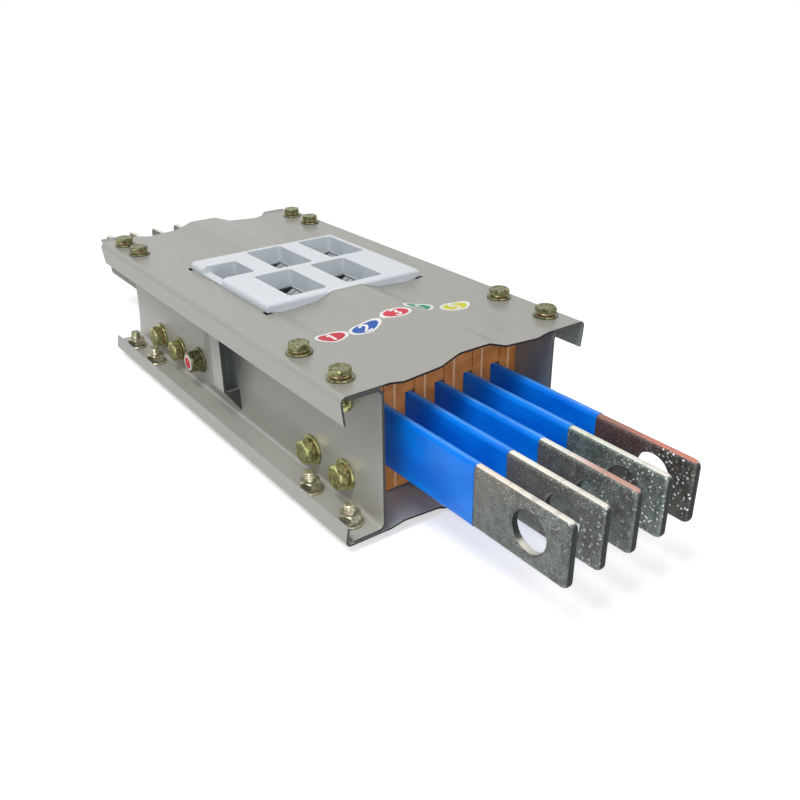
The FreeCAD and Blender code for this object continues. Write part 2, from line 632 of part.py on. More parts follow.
BAR_TOP = "(%s + %s)" % (MIDDLE, HALF_WIDTH)
for number in BARS:
    x = ("%s - Dims.jaw_length / 2" % jaw_middle(number),
         "%s + Dims.jaw_length / 2" % jaw_middle(number))
    grip = HALF_THICK + " + Dims.sleeve_gap"
    outside = grip + " + Dims.jaw_sheet"
    blank = add_box("jaw_blank_%d" % number, x,
                    ("%s - (%s)" % (bar_y(number), outside),
                     "%s + (%s)" % (bar_y(number), outside)),
                    (BAR_TOP + " - Dims.jaw_grip", BAR_TOP + " + Dims.jaw_rise"))
    y = ("%s - (%s)" % (bar_y(number), grip), "%s + (%s)" % (bar_y(number), grip))
    lower = add_box("jaw_lower_%d" % number, x, y,
                    (BAR_TOP + " - Dims.bar_width", BAR_TOP + " + Dims.sleeve_gap"))
    upper = add_box("jaw_upper_%d" % number, x, y,
                    (BAR_TOP + " + Dims.sleeve_gap + Dims.jaw_sheet",
                     BAR_TOP + " + Dims.bar_width"))
    keep(cut("jaw_cut_%d" % number, blank, [lower, upper]), "contact_jaw_%d" % number)

# Fasteners: cover bolts with washers and nuts, spacer bolts with washers, one earth bolt


def bolt(name, flats, head, thread, shank, seat, axis):
    """A hexagon bolt with its head on a seat and its shank running back from it."""
    head_solid = add_prism(name + "_head", 6, "(%s) / sqrt(3)" % flats, head, seat, axis)
    shank_solid = add_prism(name + "_shank", SHANK_SIDES, thread + " / 2", shank, seat,
                            OPPOSITE[axis])
    return fuse(name, [head_solid, shank_solid])


def ring(name, outer, bore, height, seat, axis):
    """A flat washer on its seat."""
    disc = add_prism(name + "_disc", RIM_SIDES, outer, height, seat, axis)
    return cut(name, disc, [add_bore(name + "_bore", bore, height, seat, axis)])


def nut(name, flats, bore, height, seat, axis):
    """A hexagon nut on its seat."""
    block = add_prism(name + "_block", 6, "(%s) / sqrt(3)" % flats, height, seat, axis)
    return cut(name, block, [add_bore(name + "_bore", bore, height, seat, axis)])


PLAY = "Dims.bolt_play / 4"
SMALL_BORE = "Dims.small_thread / 2 + " + PLAY
STACK = "(Dims.cover_sheet + Dims.panel_sheet)"
SMALL_SHANK = STACK + " + Dims.washer_sheet + Dims.small_nut + Dims.thread_end"

# Cover bolts: name, places, direction and seat of the heads, seats of the washers and nuts
COVER_SETS = (
    ("top", TOP_PLACES, "Z", ROOF + " + Dims.washer_sheet", ROOF, "%s - %s" % (ROOF, STACK)),
    ("bottom", LOW_PLACES, "-Z", LIFT, "%s + %s" % (LIFT, STACK),
     "%s + %s + Dims.washer_sheet" % (LIFT, STACK)),
)

for cover, places, axis, head_z, washer_z, nut_z in COVER_SETS:
    for side, sign, outward in SIDES:
        y = sign + BOLT_LINE
        bolts, washers, nuts = [], [], []
        for index, x in enumerate(places, start=1):
            tag = "%s_%s_%d" % (cover, side, index)
            bolts.append(bolt("bolt_" + tag, "Dims.small_flats", "Dims.small_head",
                              "Dims.small_thread", SMALL_SHANK, (x, y, head_z), axis))
            washers.append(ring("washer_" + tag, "Dims.small_washer", SMALL_BORE,
                                "Dims.washer_sheet", (x, y, washer_z), "Z"))
            nuts.append(nut("nut_" + tag, "Dims.small_flats", SMALL_BORE, "Dims.small_nut",
                            (x, y, nut_z), OPPOSITE[axis]))
        keep(row_of("%s_bolt_row_%s" % (cover, side), bolts), "%s_bolts_%s" % (cover, side))
        keep(row_of("%s_washer_row_%s" % (cover, side), washers), "%s_washers_%s" % (cover, side))
        keep(row_of("%s_nut_row_%s" % (cover, side), nuts), "%s_nuts_%s" % (cover, side))

LARGE_BORE = "Dims.large_thread / 2 + " + PLAY
LARGE_SHANK = "Dims.large_plate + Dims.panel_sheet + Dims.large_grip"


def web_bolt(tag, sign, outward, x, z, head):
    """A bolt through a web from outside, and the washer under its head."""
    seat = "%s(%s + Dims.large_plate)" % (sign, WEB_FACE)
    return (bolt("bolt_" + tag, "Dims.large_flats", head, "Dims.large_thread", LARGE_SHANK,
                 (x, seat, z), outward),
            ring("washer_" + tag, "Dims.large_washer", LARGE_BORE, "Dims.large_plate",
                 (x, sign + WEB_FACE, z), outward))


for side, sign, outward in SIDES:
    pairs = [web_bolt("%s_%s_%d" % (side, level, index), sign, outward, x, z, "Dims.large_head")
             for level, z in LEVELS for index, x in enumerate(SIDE_PLACES, start=1)]
    bolts, washers = zip(*pairs)
    keep(row_of("side_bolt_row_" + side, list(bolts)), "side_bolts_" + side)
    keep(row_of("side_washer_row_" + side, list(washers)), "side_washers_" + side)

earth_bolt, earth_washer = web_bolt("earth", "-", "-Y", "Dims.earth_place", EARTH_LEVEL,
                                    "Dims.earth_head")
keep(earth_bolt, "earth_bolt")
keep(earth_washer, "earth_washer")
keep(nut("nut_earth", "Dims.large_flats", LARGE_BORE, "Dims.large_head",
         ("Dims.earth_place", "-" + WEB_INNER, EARTH_LEVEL), "Y"), "earth_nut")

doc.recompute()

for item in doc.Objects:
    if "Invalid" in item.State or "Error" in item.State:
        raise RuntimeError("%s failed: %s" % (item.Name, item.getStatusString()))
for item in nodes:
    if item.Shape.isNull() or not item.Shape.isValid():
        raise RuntimeError("%s has no valid shape" % item.Label)

os.makedirs("parts", exist_ok=True)
for item in nodes:
    item.Shape.exportStep("parts/%s.step" % item.Label)
    box = item.Shape.BoundBox
    print("%-20s solids %2d faces %4d volume %9.0f  x %.1f %.1f  y %.1f %.1f  z %.1f %.1f"
          % (item.Label, len(item.Shape.Solids), len(item.Shape.Faces), item.Shape.Volume,
             box.XMin, box.XMax, box.YMin, box.YMax, box.ZMin, box.ZMax))
print(len(nodes), "nodes")
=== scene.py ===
"""Photo-matched scene of a plug-in busway section, built round its CAD frame."""

import json
import logging
import math
from collections.abc import Callable, Sequence
from dataclasses import dataclass, field
from enum import Enum
from typing import Any, ClassVar

import bpy
from mathutils import Matrix, Vector
from mathutils.bvhtree import BVHTree
from mathutils.geometry import tessellate_polygon

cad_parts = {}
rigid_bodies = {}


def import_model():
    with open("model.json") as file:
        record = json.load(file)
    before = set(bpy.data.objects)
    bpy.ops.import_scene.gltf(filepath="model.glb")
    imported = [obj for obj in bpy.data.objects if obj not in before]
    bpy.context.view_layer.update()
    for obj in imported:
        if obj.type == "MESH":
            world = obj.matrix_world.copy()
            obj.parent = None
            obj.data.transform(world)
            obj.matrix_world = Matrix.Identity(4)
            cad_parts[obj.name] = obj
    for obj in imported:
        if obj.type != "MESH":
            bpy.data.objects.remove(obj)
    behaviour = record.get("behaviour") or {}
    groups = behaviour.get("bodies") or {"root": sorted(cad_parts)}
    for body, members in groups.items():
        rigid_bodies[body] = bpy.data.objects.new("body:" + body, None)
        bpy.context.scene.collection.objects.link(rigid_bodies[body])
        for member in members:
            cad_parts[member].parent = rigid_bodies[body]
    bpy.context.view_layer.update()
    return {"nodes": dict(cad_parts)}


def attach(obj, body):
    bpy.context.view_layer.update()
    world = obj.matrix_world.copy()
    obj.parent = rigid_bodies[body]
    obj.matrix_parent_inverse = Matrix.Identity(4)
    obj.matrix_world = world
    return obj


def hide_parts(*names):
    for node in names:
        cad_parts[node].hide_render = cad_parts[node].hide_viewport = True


LOG = logging.getLogger("busway")

# A millimetre in metres.
MM = 0.001

# Heights of the frame in millimetres: the housing's foot, its middle and its roof.
LIFT = 5.3
MIDDLE = LIFT + 50.0
ROOF = LIFT + 100.0

# Places of the frame in millimetres that several classes share.
BAR_LINES = (-48.0, -24.0, 0.0, 24.0, 48.0)
BAR_HALF_HEIGHT = 20.0
WEB_LINE = 69.0
SIDE_BOLT_PLACES = (149.0, 109.0, -105.0, -145.0)
SIDE_BOLT_HEIGHTS = (LIFT + 22.0, LIFT + 78.0)
EARTH_PLACE = (-66.0, LIFT + 26.0)
JAW_PLACES = (
    (-50.5, -33.5),
    (-3.5, 13.5),
    (-65.5, -48.5),
    (-3.5, 13.5),
    (-65.5, -48.5),
)

# The angle in degrees above which an edge of a CAD node stays sharp or is softened.
CREASE = 34.0

Colour = tuple[float, float, float]
Point = tuple[float, float, float]

# Two limits, or a spot in a plane.
Span = tuple[float, float]

# The CAD nodes by name.
Nodes = dict[str, bpy.types.Object]

# A signal, a number or three numbers.
Operand = Any


def srgb(red: float, green: float, blue: float) -> Colour:
    """Turns a colour as a screen shows it into a linear one.

    Args:
        red: The red channel, 0 to 255.
        green: The green channel, 0 to 255.
        blue: The blue channel, 0 to 255.

    Returns:
        The linear colour.
    """
    channels = []
    for value in (red, green, blue):
        share = value / 255.0
        linear = share / 12.92 if share <= 0.04045 else ((share + 0.055) / 1.055) ** 2.4
        channels.append(linear)
    return (channels[0], channels[1], channels[2])


class Slot(Enum):
    """The material slots of the record."""

    PAINT = "grey_paint"
    BAR = "tinned_copper"
    SLEEVE = "blue_sleeve"
    SPACER = "orange_spacer"
    MOULDING = "white_moulding"
    CONTACT = "contact_metal"
    ZINC = "yellow_zinc"


class Place(Enum):
    """A choice of places whose name is a word of the CAD node names."""

    @property
    def word(self) -> str:
        """The place's word in the CAD node names."""
        return self.name.lower()


class Side(Place):
    """The two long sides of the section, by the sign of their y."""

    LEFT = -1
    RIGHT = 1


class End(Place):
    """The two ends of the section, by the sign of their x."""

    NEAR = 1
    FAR = -1


class Facing(Enum):
    """The directions that a bolt's head can look in, as turns about x from upright."""

    UP = 0.0
    DOWN = math.pi
    RIGHT = -math.pi / 2
    LEFT = math.pi / 2


class Signal:
    """A shader socket that can be used in arithmetic."""

    VECTORS: ClassVar[tuple[str, ...]] = ("VECTOR", "RGBA")

    def __init__(self, graph: "Graph", socket: bpy.types.NodeSocket) -> None:
        """Wraps one socket of a graph."""
        self.graph = graph
        self.socket = socket

    @property
    def is_vector(self) -> bool:
        """Whether the socket carries three numbers."""
        return self.socket.type in self.VECTORS

    def _combine(self, operation: str, first: Operand, second: Operand) -> "Signal":
        """Adds the Math or Vector Math node of an operation.

        Args:
            operation: The node's operation.
            first: A signal, a number or three numbers.
            second: A signal, a number or three numbers.

        Returns:
            The result.
        """
        parts = (first, second)
        if not any(isinstance(p, tuple) or (isinstance(p, Signal) and p.is_vector) for p in parts):
            return self.graph.node("ShaderNodeMath", {"operation": operation}, {0: first, 1: second})
        spread = {}
        for index, part in enumerate(parts):
            spread[index] = (part, part, part) if isinstance(part, (int, float)) else part
        return self.graph.node("ShaderNodeVectorMath", {"operation": operation}, spread)

    def __add__(self, other: Operand) -> "Signal":
        """Returns the sum."""
        return self._combine("ADD", self, other)

    def __radd__(self, other: Operand) -> "Signal":
        """Returns the sum."""
        return self._combine("ADD", other, self)

    def __sub__(self, other: Operand) -> "Signal":
        """Returns the difference."""
        return self._combine("SUBTRACT", self, other)

    def __rsub__(self, other: Operand) -> "Signal":
        """Returns the difference from another value."""
        return self._combine("SUBTRACT", other, self)

    def __mul__(self, other: Operand) -> "Signal":
        """Returns the product."""
        return self._combine("MULTIPLY", self, other)

    def __rmul__(self, other: Operand) -> "Signal":
        """Returns the product."""
        return self._combine("MULTIPLY", other, self)

    def __abs__(self) -> "Signal":
        """Returns the magnitude."""
        return self.graph.node("ShaderNodeMath", {"operation": "ABSOLUTE"}, {0: self})

    def step(self, low: float, high: float) -> "Signal":
        """Returns a soft step.

        Args:
            low: The value at which the step starts.
            high: The value at which it ends, below low for a falling step.

        Returns:
            A value from 0 to 1.
        """
        rising = low <= high
        values = {
            "Value": self,
            "From Min": min(low, high),
            "From Max": max(low, high),
            "To Min": 0.0 if rising else 1.0,
            "To Max": 1.0 if rising else 0.0,
        }
        return self.graph.node("ShaderNodeMapRange", {"interpolation_type": "SMOOTHSTEP"}, values)

    def blend(self, low: Operand, high: Operand) -> "Signal":
        """Returns a colour between two, with this signal as the share of the second."""
        values = {"Factor_Float": self, "A_Color": low, "B_Color": high}
        return self.graph.node("ShaderNodeMix", {"data_type": "RGBA"}, values, "Result_Color")

    def parts(self) -> tuple["Signal", "Signal", "Signal"]:
        """Takes a vector apart.

        Returns:
            Its x, y and z.
        """
        first = self.graph.node("ShaderNodeSeparateXYZ", {}, {"Vector": self}, "X")
        outputs = first.socket.node.outputs
        return (first, Signal(self.graph, outputs["Y"]), Signal(self.graph, outputs["Z"]))


class Graph:
    """A node tree of a material or of a modifier."""

    def __init__(self, tree: bpy.types.NodeTree) -> None:
        """Empties a tree and takes it over."""
        self.tree = tree
        self.tree.nodes.clear()

    @staticmethod
    def _socket(sockets: Any, key: str | int) -> bpy.types.NodeSocket:
        """Finds a socket.

        Args:
            sockets: The inputs or outputs of a node.
            key: Its index, identifier or name.

        Returns:
            The socket.
        """
        if isinstance(key, int):
            return sockets[key]
        return next((s for s in sockets if s.identifier == key), None) or sockets[key]

    def node(
        self,
        kind: str,
        settings: dict[str, Any] | None = None,
        values: dict[str | int, Operand] | None = None,
        output: str | int | None = 0,
    ) -> Signal:
        """Adds a node.

        Args:
            kind: The node's type.
            settings: Its options, set before its sockets.
            values: A number, colour or signal for each socket that isn't left alone.
            output: The output that is returned, or None for a node that ends the tree.

        Returns:
            The output, or the first input of a node that ends the tree.
        """
        made = self.tree.nodes.new(kind)
        for option, choice in (settings or {}).items():
            setattr(made, option, choice)
        for key, value in (values or {}).items():
            socket = self._socket(made.inputs, key)
            if isinstance(value, Signal):
                self.tree.links.new(value.socket, socket)
            elif isinstance(value, tuple) and socket.type == "RGBA":
                socket.default_value = (*value, 1.0)
            else:
                socket.default_value = value
        if output is None:
            return Signal(self, made.inputs[0])
        return Signal(self, self._socket(made.outputs, output))

    def place(self) -> Signal:
        """Returns the position on the object in millimetres of the frame."""
        return self.node("ShaderNodeTexCoord", {}, {}, "Object") * (1.0 / MM)

    def facing(self, smooth: bool = False) -> Signal:
        """Returns the direction that the flat face, or the smoothed surface, looks in."""
        return self.node("ShaderNodeNewGeometry", {}, {}, "Normal" if smooth else "True Normal")

    def noise(self, place: Signal, size: float, detail: float = 3.0, rough: float = 0.5) -> Signal:
        """Adds a noise of about 0 to 1.

        Args:
            place: The position that it is read at.
            size: The size of its patches in millimetres.
            detail: How many finer layers it has.
            rough: How strong these are.

        Returns:
            The noise's value.
        """
        values = {"Vector": place, "Scale": 1.0 / size, "Detail": detail, "Roughness": rough}
        return self.node("ShaderNodeTexNoise", {}, values)

    def dots(self, place: Signal, spacing: float, radius: float) -> Signal:
        """Adds scattered dots.

        Args:
            place: The position that they are read at.
            spacing: Their mean distance in millimetres.
            radius: Their radius in millimetres.

        Returns:
            A value of 1 at their middles and 0 between them.
        """
        values = {"Vector": place, "Scale": 1.0 / spacing}
        reach = self.node("ShaderNodeTexVoronoi", {}, values, "Distance")
        return reach.step(radius / spacing, 0.6 * radius / spacing)

    def distance(self, place: Signal, centre: Point, weights: Point = (1.0, 1.0, 1.0)) -> Signal:
        """Returns the distance from a point, with each axis weighted."""
        offset = (place - centre) * weights
        return self.node("ShaderNodeVectorMath", {"operation": "LENGTH"}, {0: offset}, "Value")

    def bump(self, height: Signal, depth: float, strength: float = 1.0) -> Signal:
        """Returns the normal of a relief whose full depth is given in millimetres."""
        values = {"Height": height, "Distance": depth * MM, "Strength": strength}
        return self.node("ShaderNodeBump", {}, values)


@dataclass(frozen=True)
class Finish:
    """A material that is made once and shared."""

    name: str
    slot: ClassVar[Slot] = Slot.PAINT

    def shade(self, graph: Graph) -> dict[str | int, Operand]:
        """Returns the values of the Principled shader's sockets."""
        raise NotImplementedError

    def material(self) -> bpy.types.Material:
        """Makes the material at its first use.

        Returns:
            The material.
        """
        found = bpy.data.materials.get(self.name)
        if found is not None:
            return found
        made = bpy.data.materials.new(self.name)
        made.use_nodes = True
        graph = Graph(made.node_tree)
        shader = graph.node("ShaderNodeBsdfPrincipled", {}, self.shade(graph))
        graph.node("ShaderNodeOutputMaterial", {}, {"Surface": shader}, None)
        return made

    def coat(self, node: bpy.types.Object) -> None:
        """Gives this finish to a CAD node."""
        node.material_slots[0].material = self.material()


@dataclass(frozen=True)
class Mark:
    """A small mark on the paint."""

    centre: Point
    length: float
    width: float


@dataclass(frozen=True)
class SheetPaint(Finish):
    """Satin grey powder coat on folded sheet, with dark sheared edges that are near black between the
    webs as painted shade of the gap under the cover.
    """

    tone: Colour = srgb(158, 157, 151)
    # A paler copy of the paint on inward faces: painted light inside the shaded housing.
    lining: Colour = srgb(180, 186, 184)
    # The near-black edge colour between the webs is painted shade of the gap under the cover; far_edge is
    # the cut edges' own dark grey.
    edge: Colour = srgb(22, 16, 13)
    far_edge: Colour = srgb(74, 74, 72)
    edge_reach: float = 66.5
    rise: float = 1.0
    cloud_size: float = 55.0
    grain_size: float = 1.3
    # Painted shade and sheen by height: darker towards the top under the cover's overhang, lighter
    # towards the bottom as a painted reflection.
    sheen: float = 0.0
    sheen_heights: Span = (84.0, 14.0)
    rings: tuple[Point, ...] = ()
    ring_fade: Span = (21.0, 8.0)
    ring_gain: float = 0.13
    # Near-black spots at the socket's corners: painted shadow standing in for the cover's relief holes.
    reliefs: tuple[Point, ...] = ()
    relief_tone: Colour = srgb(14, 13, 14)
    relief_fade: Span = (2.1, 1.5)
    marks: tuple[Mark, ...] = ()
    mark_tone: Colour = srgb(70, 66, 62)
    mark_share: float = 0.75

    def _lining_share(self, graph: Graph, place: Signal) -> Signal:
        """Tells how far a face looks inwards.

        Args:
            graph: The material's node tree.
            place: The position on the object.

        Returns:
            A value of 1 for the lining and 0 for the outside.
        """
        _, across, height = place.parts()
        _, face_y, face_z = graph.facing().parts()
        outward = face_y * across + face_z * (height - MIDDLE) * self.rise
        return outward.step(1.0, -6.0)

    def _edge_colour(self, across: Signal) -> Signal:
        """Returns the colour of a sheared edge: dark grey, and near black between the webs as painted
        shade of the gap under the cover.
        """
        return abs(across).step(self.edge_reach + 1.0, self.edge_reach).blend(self.far_edge, self.edge)

    def shade(self, graph: Graph) -> dict[str | int, Operand]:
        """Mixes the paint with its painted-light lining, edges, painted shade and sheen, rings, painted
        hole shadows and marks.

        Args:
            graph: The material's node tree.

        Returns:
            The values of the Principled shader's sockets.
        """
        place = graph.place()
        _, across, height = place.parts()
        cloud = graph.noise(place, self.cloud_size, 2.0)
        grain = graph.noise(place, self.grain_size, 2.0, 0.6)
        level = 1.0 + (cloud - 0.5) * 0.10 + (grain - 0.5) * 0.05
        for ring in self.rings:
            near = graph.distance(place, ring, (1.0, 0.3, 1.0))
            level = level + near.step(*self.ring_fade) * self.ring_gain
        # Painted shade and sheen: darker towards the top, lighter towards the bottom.
        if self.sheen:
            level = level * (1.0 - self.sheen + height.step(*self.sheen_heights) * self.sheen * 2.1)
        # Inward faces take the lightened lining, painted light in the shade of the housing.
        colour = self._lining_share(graph, place).blend(self.tone, self.lining) * level
        # Painted shadow of the corner relief holes.
        for spot in self.reliefs:
            near = graph.distance(place, spot, (1.0, 1.0, 0.4))
            colour = near.step(*self.relief_fade).blend(colour, self.relief_tone)
        for mark in self.marks:
            weights = (1.0 / mark.width, 1.0 / mark.length, 0.02)
            near = graph.distance(place, mark.centre, weights)
            colour = (near.step(1.0, 0.5) * self.mark_share).blend(colour, self.mark_tone)
        # Faces that look along the bars are sheared edges, near black between the webs as painted shade.
        face_x, _, _ = graph.facing().parts()
        sheared = abs(face_x).step(0.4, 0.6)
        return {
            "Base Color": sheared.blend(colour, self._edge_colour(across)),
            "Metallic": 0.28,
            "Specular IOR Level": 0.4,
            "Roughness": 0.38 + (cloud - 0.5) * 0.10 + sheared * 0.4,
            "Normal": graph.bump(grain, 0.012, 0.6),
        }


@dataclass(frozen=True)
class Speckle:
    """Scattered spots of one colour, with sizes in millimetres."""

    tone: Colour
    spacing: float
    radius: float

    def over(self, graph: Graph, place: Signal, colour: Signal, share: Signal) -> Signal:
        """Lays the spots over a colour.

        Args:
            graph: The material's node tree.
            place: The position that they are read at.
            colour: The colour under them.
            share: How much they cover it.

        Returns:
            The spotted colour.
        """
        spots = graph.dots(place, self.spacing, self.radius)
        return (spots * share).blend(colour, self.tone)


@dataclass(frozen=True)
class TinnedBar(Finish):
    """Dull granular tin on copper bar, with a painted highlight along its upper edge, copper-tinted where
    worn on some bars, and flecks towards the tip.
    """

    slot: ClassVar[Slot] = Slot.BAR
    light: Colour = srgb(114, 120, 116)
    dark: Colour = srgb(76, 79, 76)
    # Painted highlight along the top of the upper edge; on some bars it is tinted copper where the tin is
    # worn.
    crown: Colour = srgb(236, 234, 224)
    crown_tip: Colour = srgb(226, 222, 212)
    crown_fade: Span = (262.0, 300.0)
    blush: Colour = srgb(138, 130, 120)
    blush_share: float = 0.4
    blush_start: float = 268.0
    pit: Speckle = Speckle(srgb(40, 40, 38), spacing=1.9, radius=0.55)
    pits: float = 0.75
    spark: Speckle = Speckle(srgb(214, 214, 208), spacing=1.5, radius=0.45)
    sparks: float = 0.8
    fleck: Speckle = Speckle(srgb(238, 240, 238), spacing=2.8, radius=0.85)
    flecks: float = 0.3
    fleck_start: float = 282.0
    # Dark end faces: painted shade on the faces that look along the bar.
    cut_face: Colour = srgb(46, 50, 50)

    def _face(self, graph: Graph, place: Signal) -> Signal:
        """Mixes the colour of the flat faces.

        Args:
            graph: The material's node tree.
            place: The position on the object.

        Returns:
            The colour.
        """
        along, _, height = place.parts()
        patch = graph.noise(place, 6.0, 3.0, 0.6)
        grain = graph.noise(place, 0.9, 2.0, 0.7)
        colour = (patch * 0.6 + grain * 0.4).step(0.34, 0.66).blend(self.dark, self.light)
        rough = graph.noise(place, 4.0, 1.0)
        share = rough.step(0.42, 0.6) * self.pits
        colour = self.pit.over(graph, place + (3.0, 5.0, 9.0), colour, share)
        share = ((height - MIDDLE) * 0.02 + rough).step(0.5, 0.9) * self.sparks
        colour = self.spark.over(graph, place, colour, share)
        warmth = (height - MIDDLE) * 0.022 - (along - self.blush_start) * 0.012
        warmth = warmth + graph.noise(place, 9.0, 2.0)
        blushed = (warmth.step(0.35, 1.0) * self.blush_share).blend(colour, self.blush)
        return blushed * (0.72 + grain * 0.56)

    def shade(self, graph: Graph) -> dict[str | int, Operand]:
        """Mixes the granular metal.

        Args:
            graph: The material's node tree.

        Returns:
            The values of the Principled shader's sockets.
        """
        place = graph.place()
        along, _, height = place.parts()
        grain = graph.noise(place, 0.55, 2.0, 0.75)
        spread = (along - self.fleck_start) * 0.035 - (height - MIDDLE) * 0.02
        share = (spread + graph.noise(place, 3.0, 1.0)).step(0.5, 0.9) * self.flecks
        colour = self.fleck.over(graph, place, self._face(graph, place), share)
        face_x, _, face_z = graph.facing(smooth=True).parts()
        patch = graph.noise(place * (0.5, 0.15, 0.15), 3.0, 2.0).step(0.30, 0.48)
        # Painted highlight on faces that look up, tinted copper on bars whose tin is worn.
        crown = along.step(*self.crown_fade).blend(self.crown, self.crown_tip)
        colour = (face_z.step(0.70, 0.90) * (0.7 + patch * 0.3)).blend(colour, crown)
        # Faces that look along the bar take the painted shade of the end faces.
        shaded_end = abs(face_x).step(0.6, 0.9)
        return {
            "Base Color": shaded_end.blend(colour, self.cut_face),
            "Metallic": 0.3,
            "Roughness": 0.42 + grain * 0.16 + shaded_end * 0.4,
            "Normal": graph.bump(grain, 0.05, 0.8),
        }


@dataclass(frozen=True)
class ShrunkSleeve(Finish):
    """Glossy blue sleeve, slightly wavy where it shrank onto the bar."""

    slot: ClassVar[Slot] = Slot.SLEEVE
    tone: Colour = srgb(4, 134, 246)
    deep: Colour = srgb(0, 110, 224)
    # Pale blue painted highlight along the top of the sleeve.
    crest: Colour = srgb(112, 184, 252)
    wave_size: float = 16.0
    ripple_size: float = 3.0

    def shade(self, graph: Graph) -> dict[str | int, Operand]:
        """Mixes the blue film, with a painted highlight along its upper edge.

        Args:
            graph: The material's node tree.

        Returns:
            The values of the Principled shader's sockets.
        """
        place = graph.place()
        wave = graph.noise(place * (0.35, 1.0, 1.0), self.wave_size, 2.0)
        fine = graph.noise(place * (0.2, 1.0, 1.0), self.ripple_size, 2.0)
        _, _, face_z = graph.facing(smooth=True).parts()
        # Share of the painted highlight on faces that look up, varied by the wave.
        worn = face_z.step(0.90, 0.99) * (0.1 + wave * 0.6)
        return {
            "Base Color": worn.blend(wave.step(0.3, 0.7).blend(self.deep, self.tone), self.crest),
            "Roughness": 0.30 + fine * 0.08,
            "Specular IOR Level": 0.22,
            "Normal": graph.bump(wave + fine * 0.25, 0.35, 0.5),
        }


@dataclass(frozen=True)
class SpacerResin(Finish):
    """Brown-orange moulded resin with painted highlights beside its seams."""

    slot: ClassVar[Slot] = Slot.SPACER
    tone: Colour = srgb(206, 136, 70)
    shade_tone: Colour = srgb(176, 110, 50)
    # Painted highlight on the rounded block edges beside each seam.
    seam_tone: Colour = srgb(236, 196, 150)
    half_spacing: float = 12.0
    seam_fade: Span = (1.0, 0.6)

    def shade(self, graph: Graph) -> dict[str | int, Operand]:
        """Mixes the resin, with a painted highlight beside the seams that lie midway between the bars.

        Args:
            graph: The material's node tree.

        Returns:
            The values of the Principled shader's sockets.
        """
        place = graph.place()
        _, across, _ = place.parts()
        folded = {0: across - self.half_spacing, 1: self.half_spacing}
        seam = graph.node("ShaderNodeMath", {"operation": "PINGPONG"}, folded)
        cloud = graph.noise(place, 11.0, 3.0)
        grain = graph.noise(place, 0.9, 2.0)
        colour = cloud.step(0.3, 0.7).blend(self.shade_tone, self.tone)
        # Painted highlight beside each seam.
        colour = (seam.step(*self.seam_fade) * 0.7).blend(colour, self.seam_tone)
        return {
            "Base Color": colour * (0.94 + grain * 0.12),
            "Roughness": 0.5 + (cloud - 0.5) * 0.15,
            "Normal": graph.bump(grain, 0.02, 0.6),
        }


@dataclass(frozen=True)
class WhiteMoulding(Finish):
    """Bluish white semi-gloss plastic."""

    slot: ClassVar[Slot] = Slot.MOULDING
    tone: Colour = srgb(212, 217, 222)
    # Darker copy for faces that don't look up: painted shade on the walls.
    wall: Colour = srgb(196, 203, 210)
    # Greyer foot: painted shade low on the socket.
    foot: Colour = srgb(188, 196, 204)
    # Near dark below the pockets' floor: painted shadow inside the blade slots.
    slot_depth: Colour = srgb(58, 64, 68)
    foot_fade: Span = (107.0, 101.0)
    slot_fade: Span = (98.6, 97.0)

    def shade(self, graph: Graph) -> dict[str | int, Operand]:
        """Mixes the plastic, with painted shade on its walls and foot and a painted shadow below the
        floor of its pockets.

        Args:
            graph: The material's node tree.

        Returns:
            The values of the Principled shader's sockets.
        """
        place = graph.place()
        _, _, height = place.parts()
        cloud = graph.noise(place, 18.0, 2.0)
        grain = graph.noise(place, 1.0, 2.0)
        low = height.step(*self.foot_fade) * 0.5
        _, _, face_z = graph.facing().parts()
        # Walls take the painted wall shade, and the foot its painted shade.
        colour = face_z.step(0.3, 0.8).blend(self.wall, low.blend(self.tone, self.foot))
        # Below the pockets' floor the painted slot shadow takes over.
        colour = height.step(*self.slot_fade).blend(colour, self.slot_depth)
        return {
            "Base Color": colour * (0.985 + (cloud - 0.5) * 0.05),
            "Roughness": 0.30 + cloud * 0.08,
            "Normal": graph.bump(grain, 0.008, 0.6),
        }


@dataclass(frozen=True)
class SpringMetal(Finish):
    """Plated spring sheet with a drawn grain."""

    slot: ClassVar[Slot] = Slot.CONTACT
    tone: Colour = srgb(206, 206, 204)

    def shade(self, graph: Graph) -> dict[str | int, Operand]:
        """Mixes the plated sheet.

        Args:
            graph: The material's node tree.

        Returns:
            The values of the Principled shader's sockets.
        """
        place = graph.place()
        drawn = graph.noise(place * (1.0, 1.0, 0.08), 0.7, 2.0)
        return {
            "Base Color": (0.7 + drawn * 0.5) * self.tone,
            "Metallic": 0.75,
            "Roughness": 0.25 + drawn * 0.2,
        }


@dataclass(frozen=True)
class YellowZinc(Finish):
    """Yellow passivated zinc, from olive to a pinkish brown."""

    slot: ClassVar[Slot] = Slot.ZINC
    olive: Colour = srgb(74, 80, 54)
    straw: Colour = srgb(146, 147, 104)
    pink: Colour = srgb(134, 106, 94)
    patch: float = 2.6

    def shade(self, graph: Graph) -> dict[str | int, Operand]:
        """Mixes the cloudy plating.

        Args:
            graph: The material's node tree.

        Returns:
            The values of the Principled shader's sockets.
        """
        place = graph.place()
        cloud = graph.noise(place, self.patch, 3.0, 0.6)
        drift = graph.noise(place + (31.0, 7.0, 5.0), self.patch * 1.6, 2.0)
        grain = graph.noise(place, 0.5, 2.0)
        colour = cloud.step(0.34, 0.66).blend(self.olive, self.straw)
        colour = (drift.step(0.54, 0.68) * 0.6).blend(colour, self.pink)
        return {
            "Base Color": colour * (0.86 + grain * 0.28),
            "Metallic": 0.75,
            "Roughness": 0.24 + cloud * 0.2,
            "Normal": graph.bump(grain, 0.02, 0.5),
        }


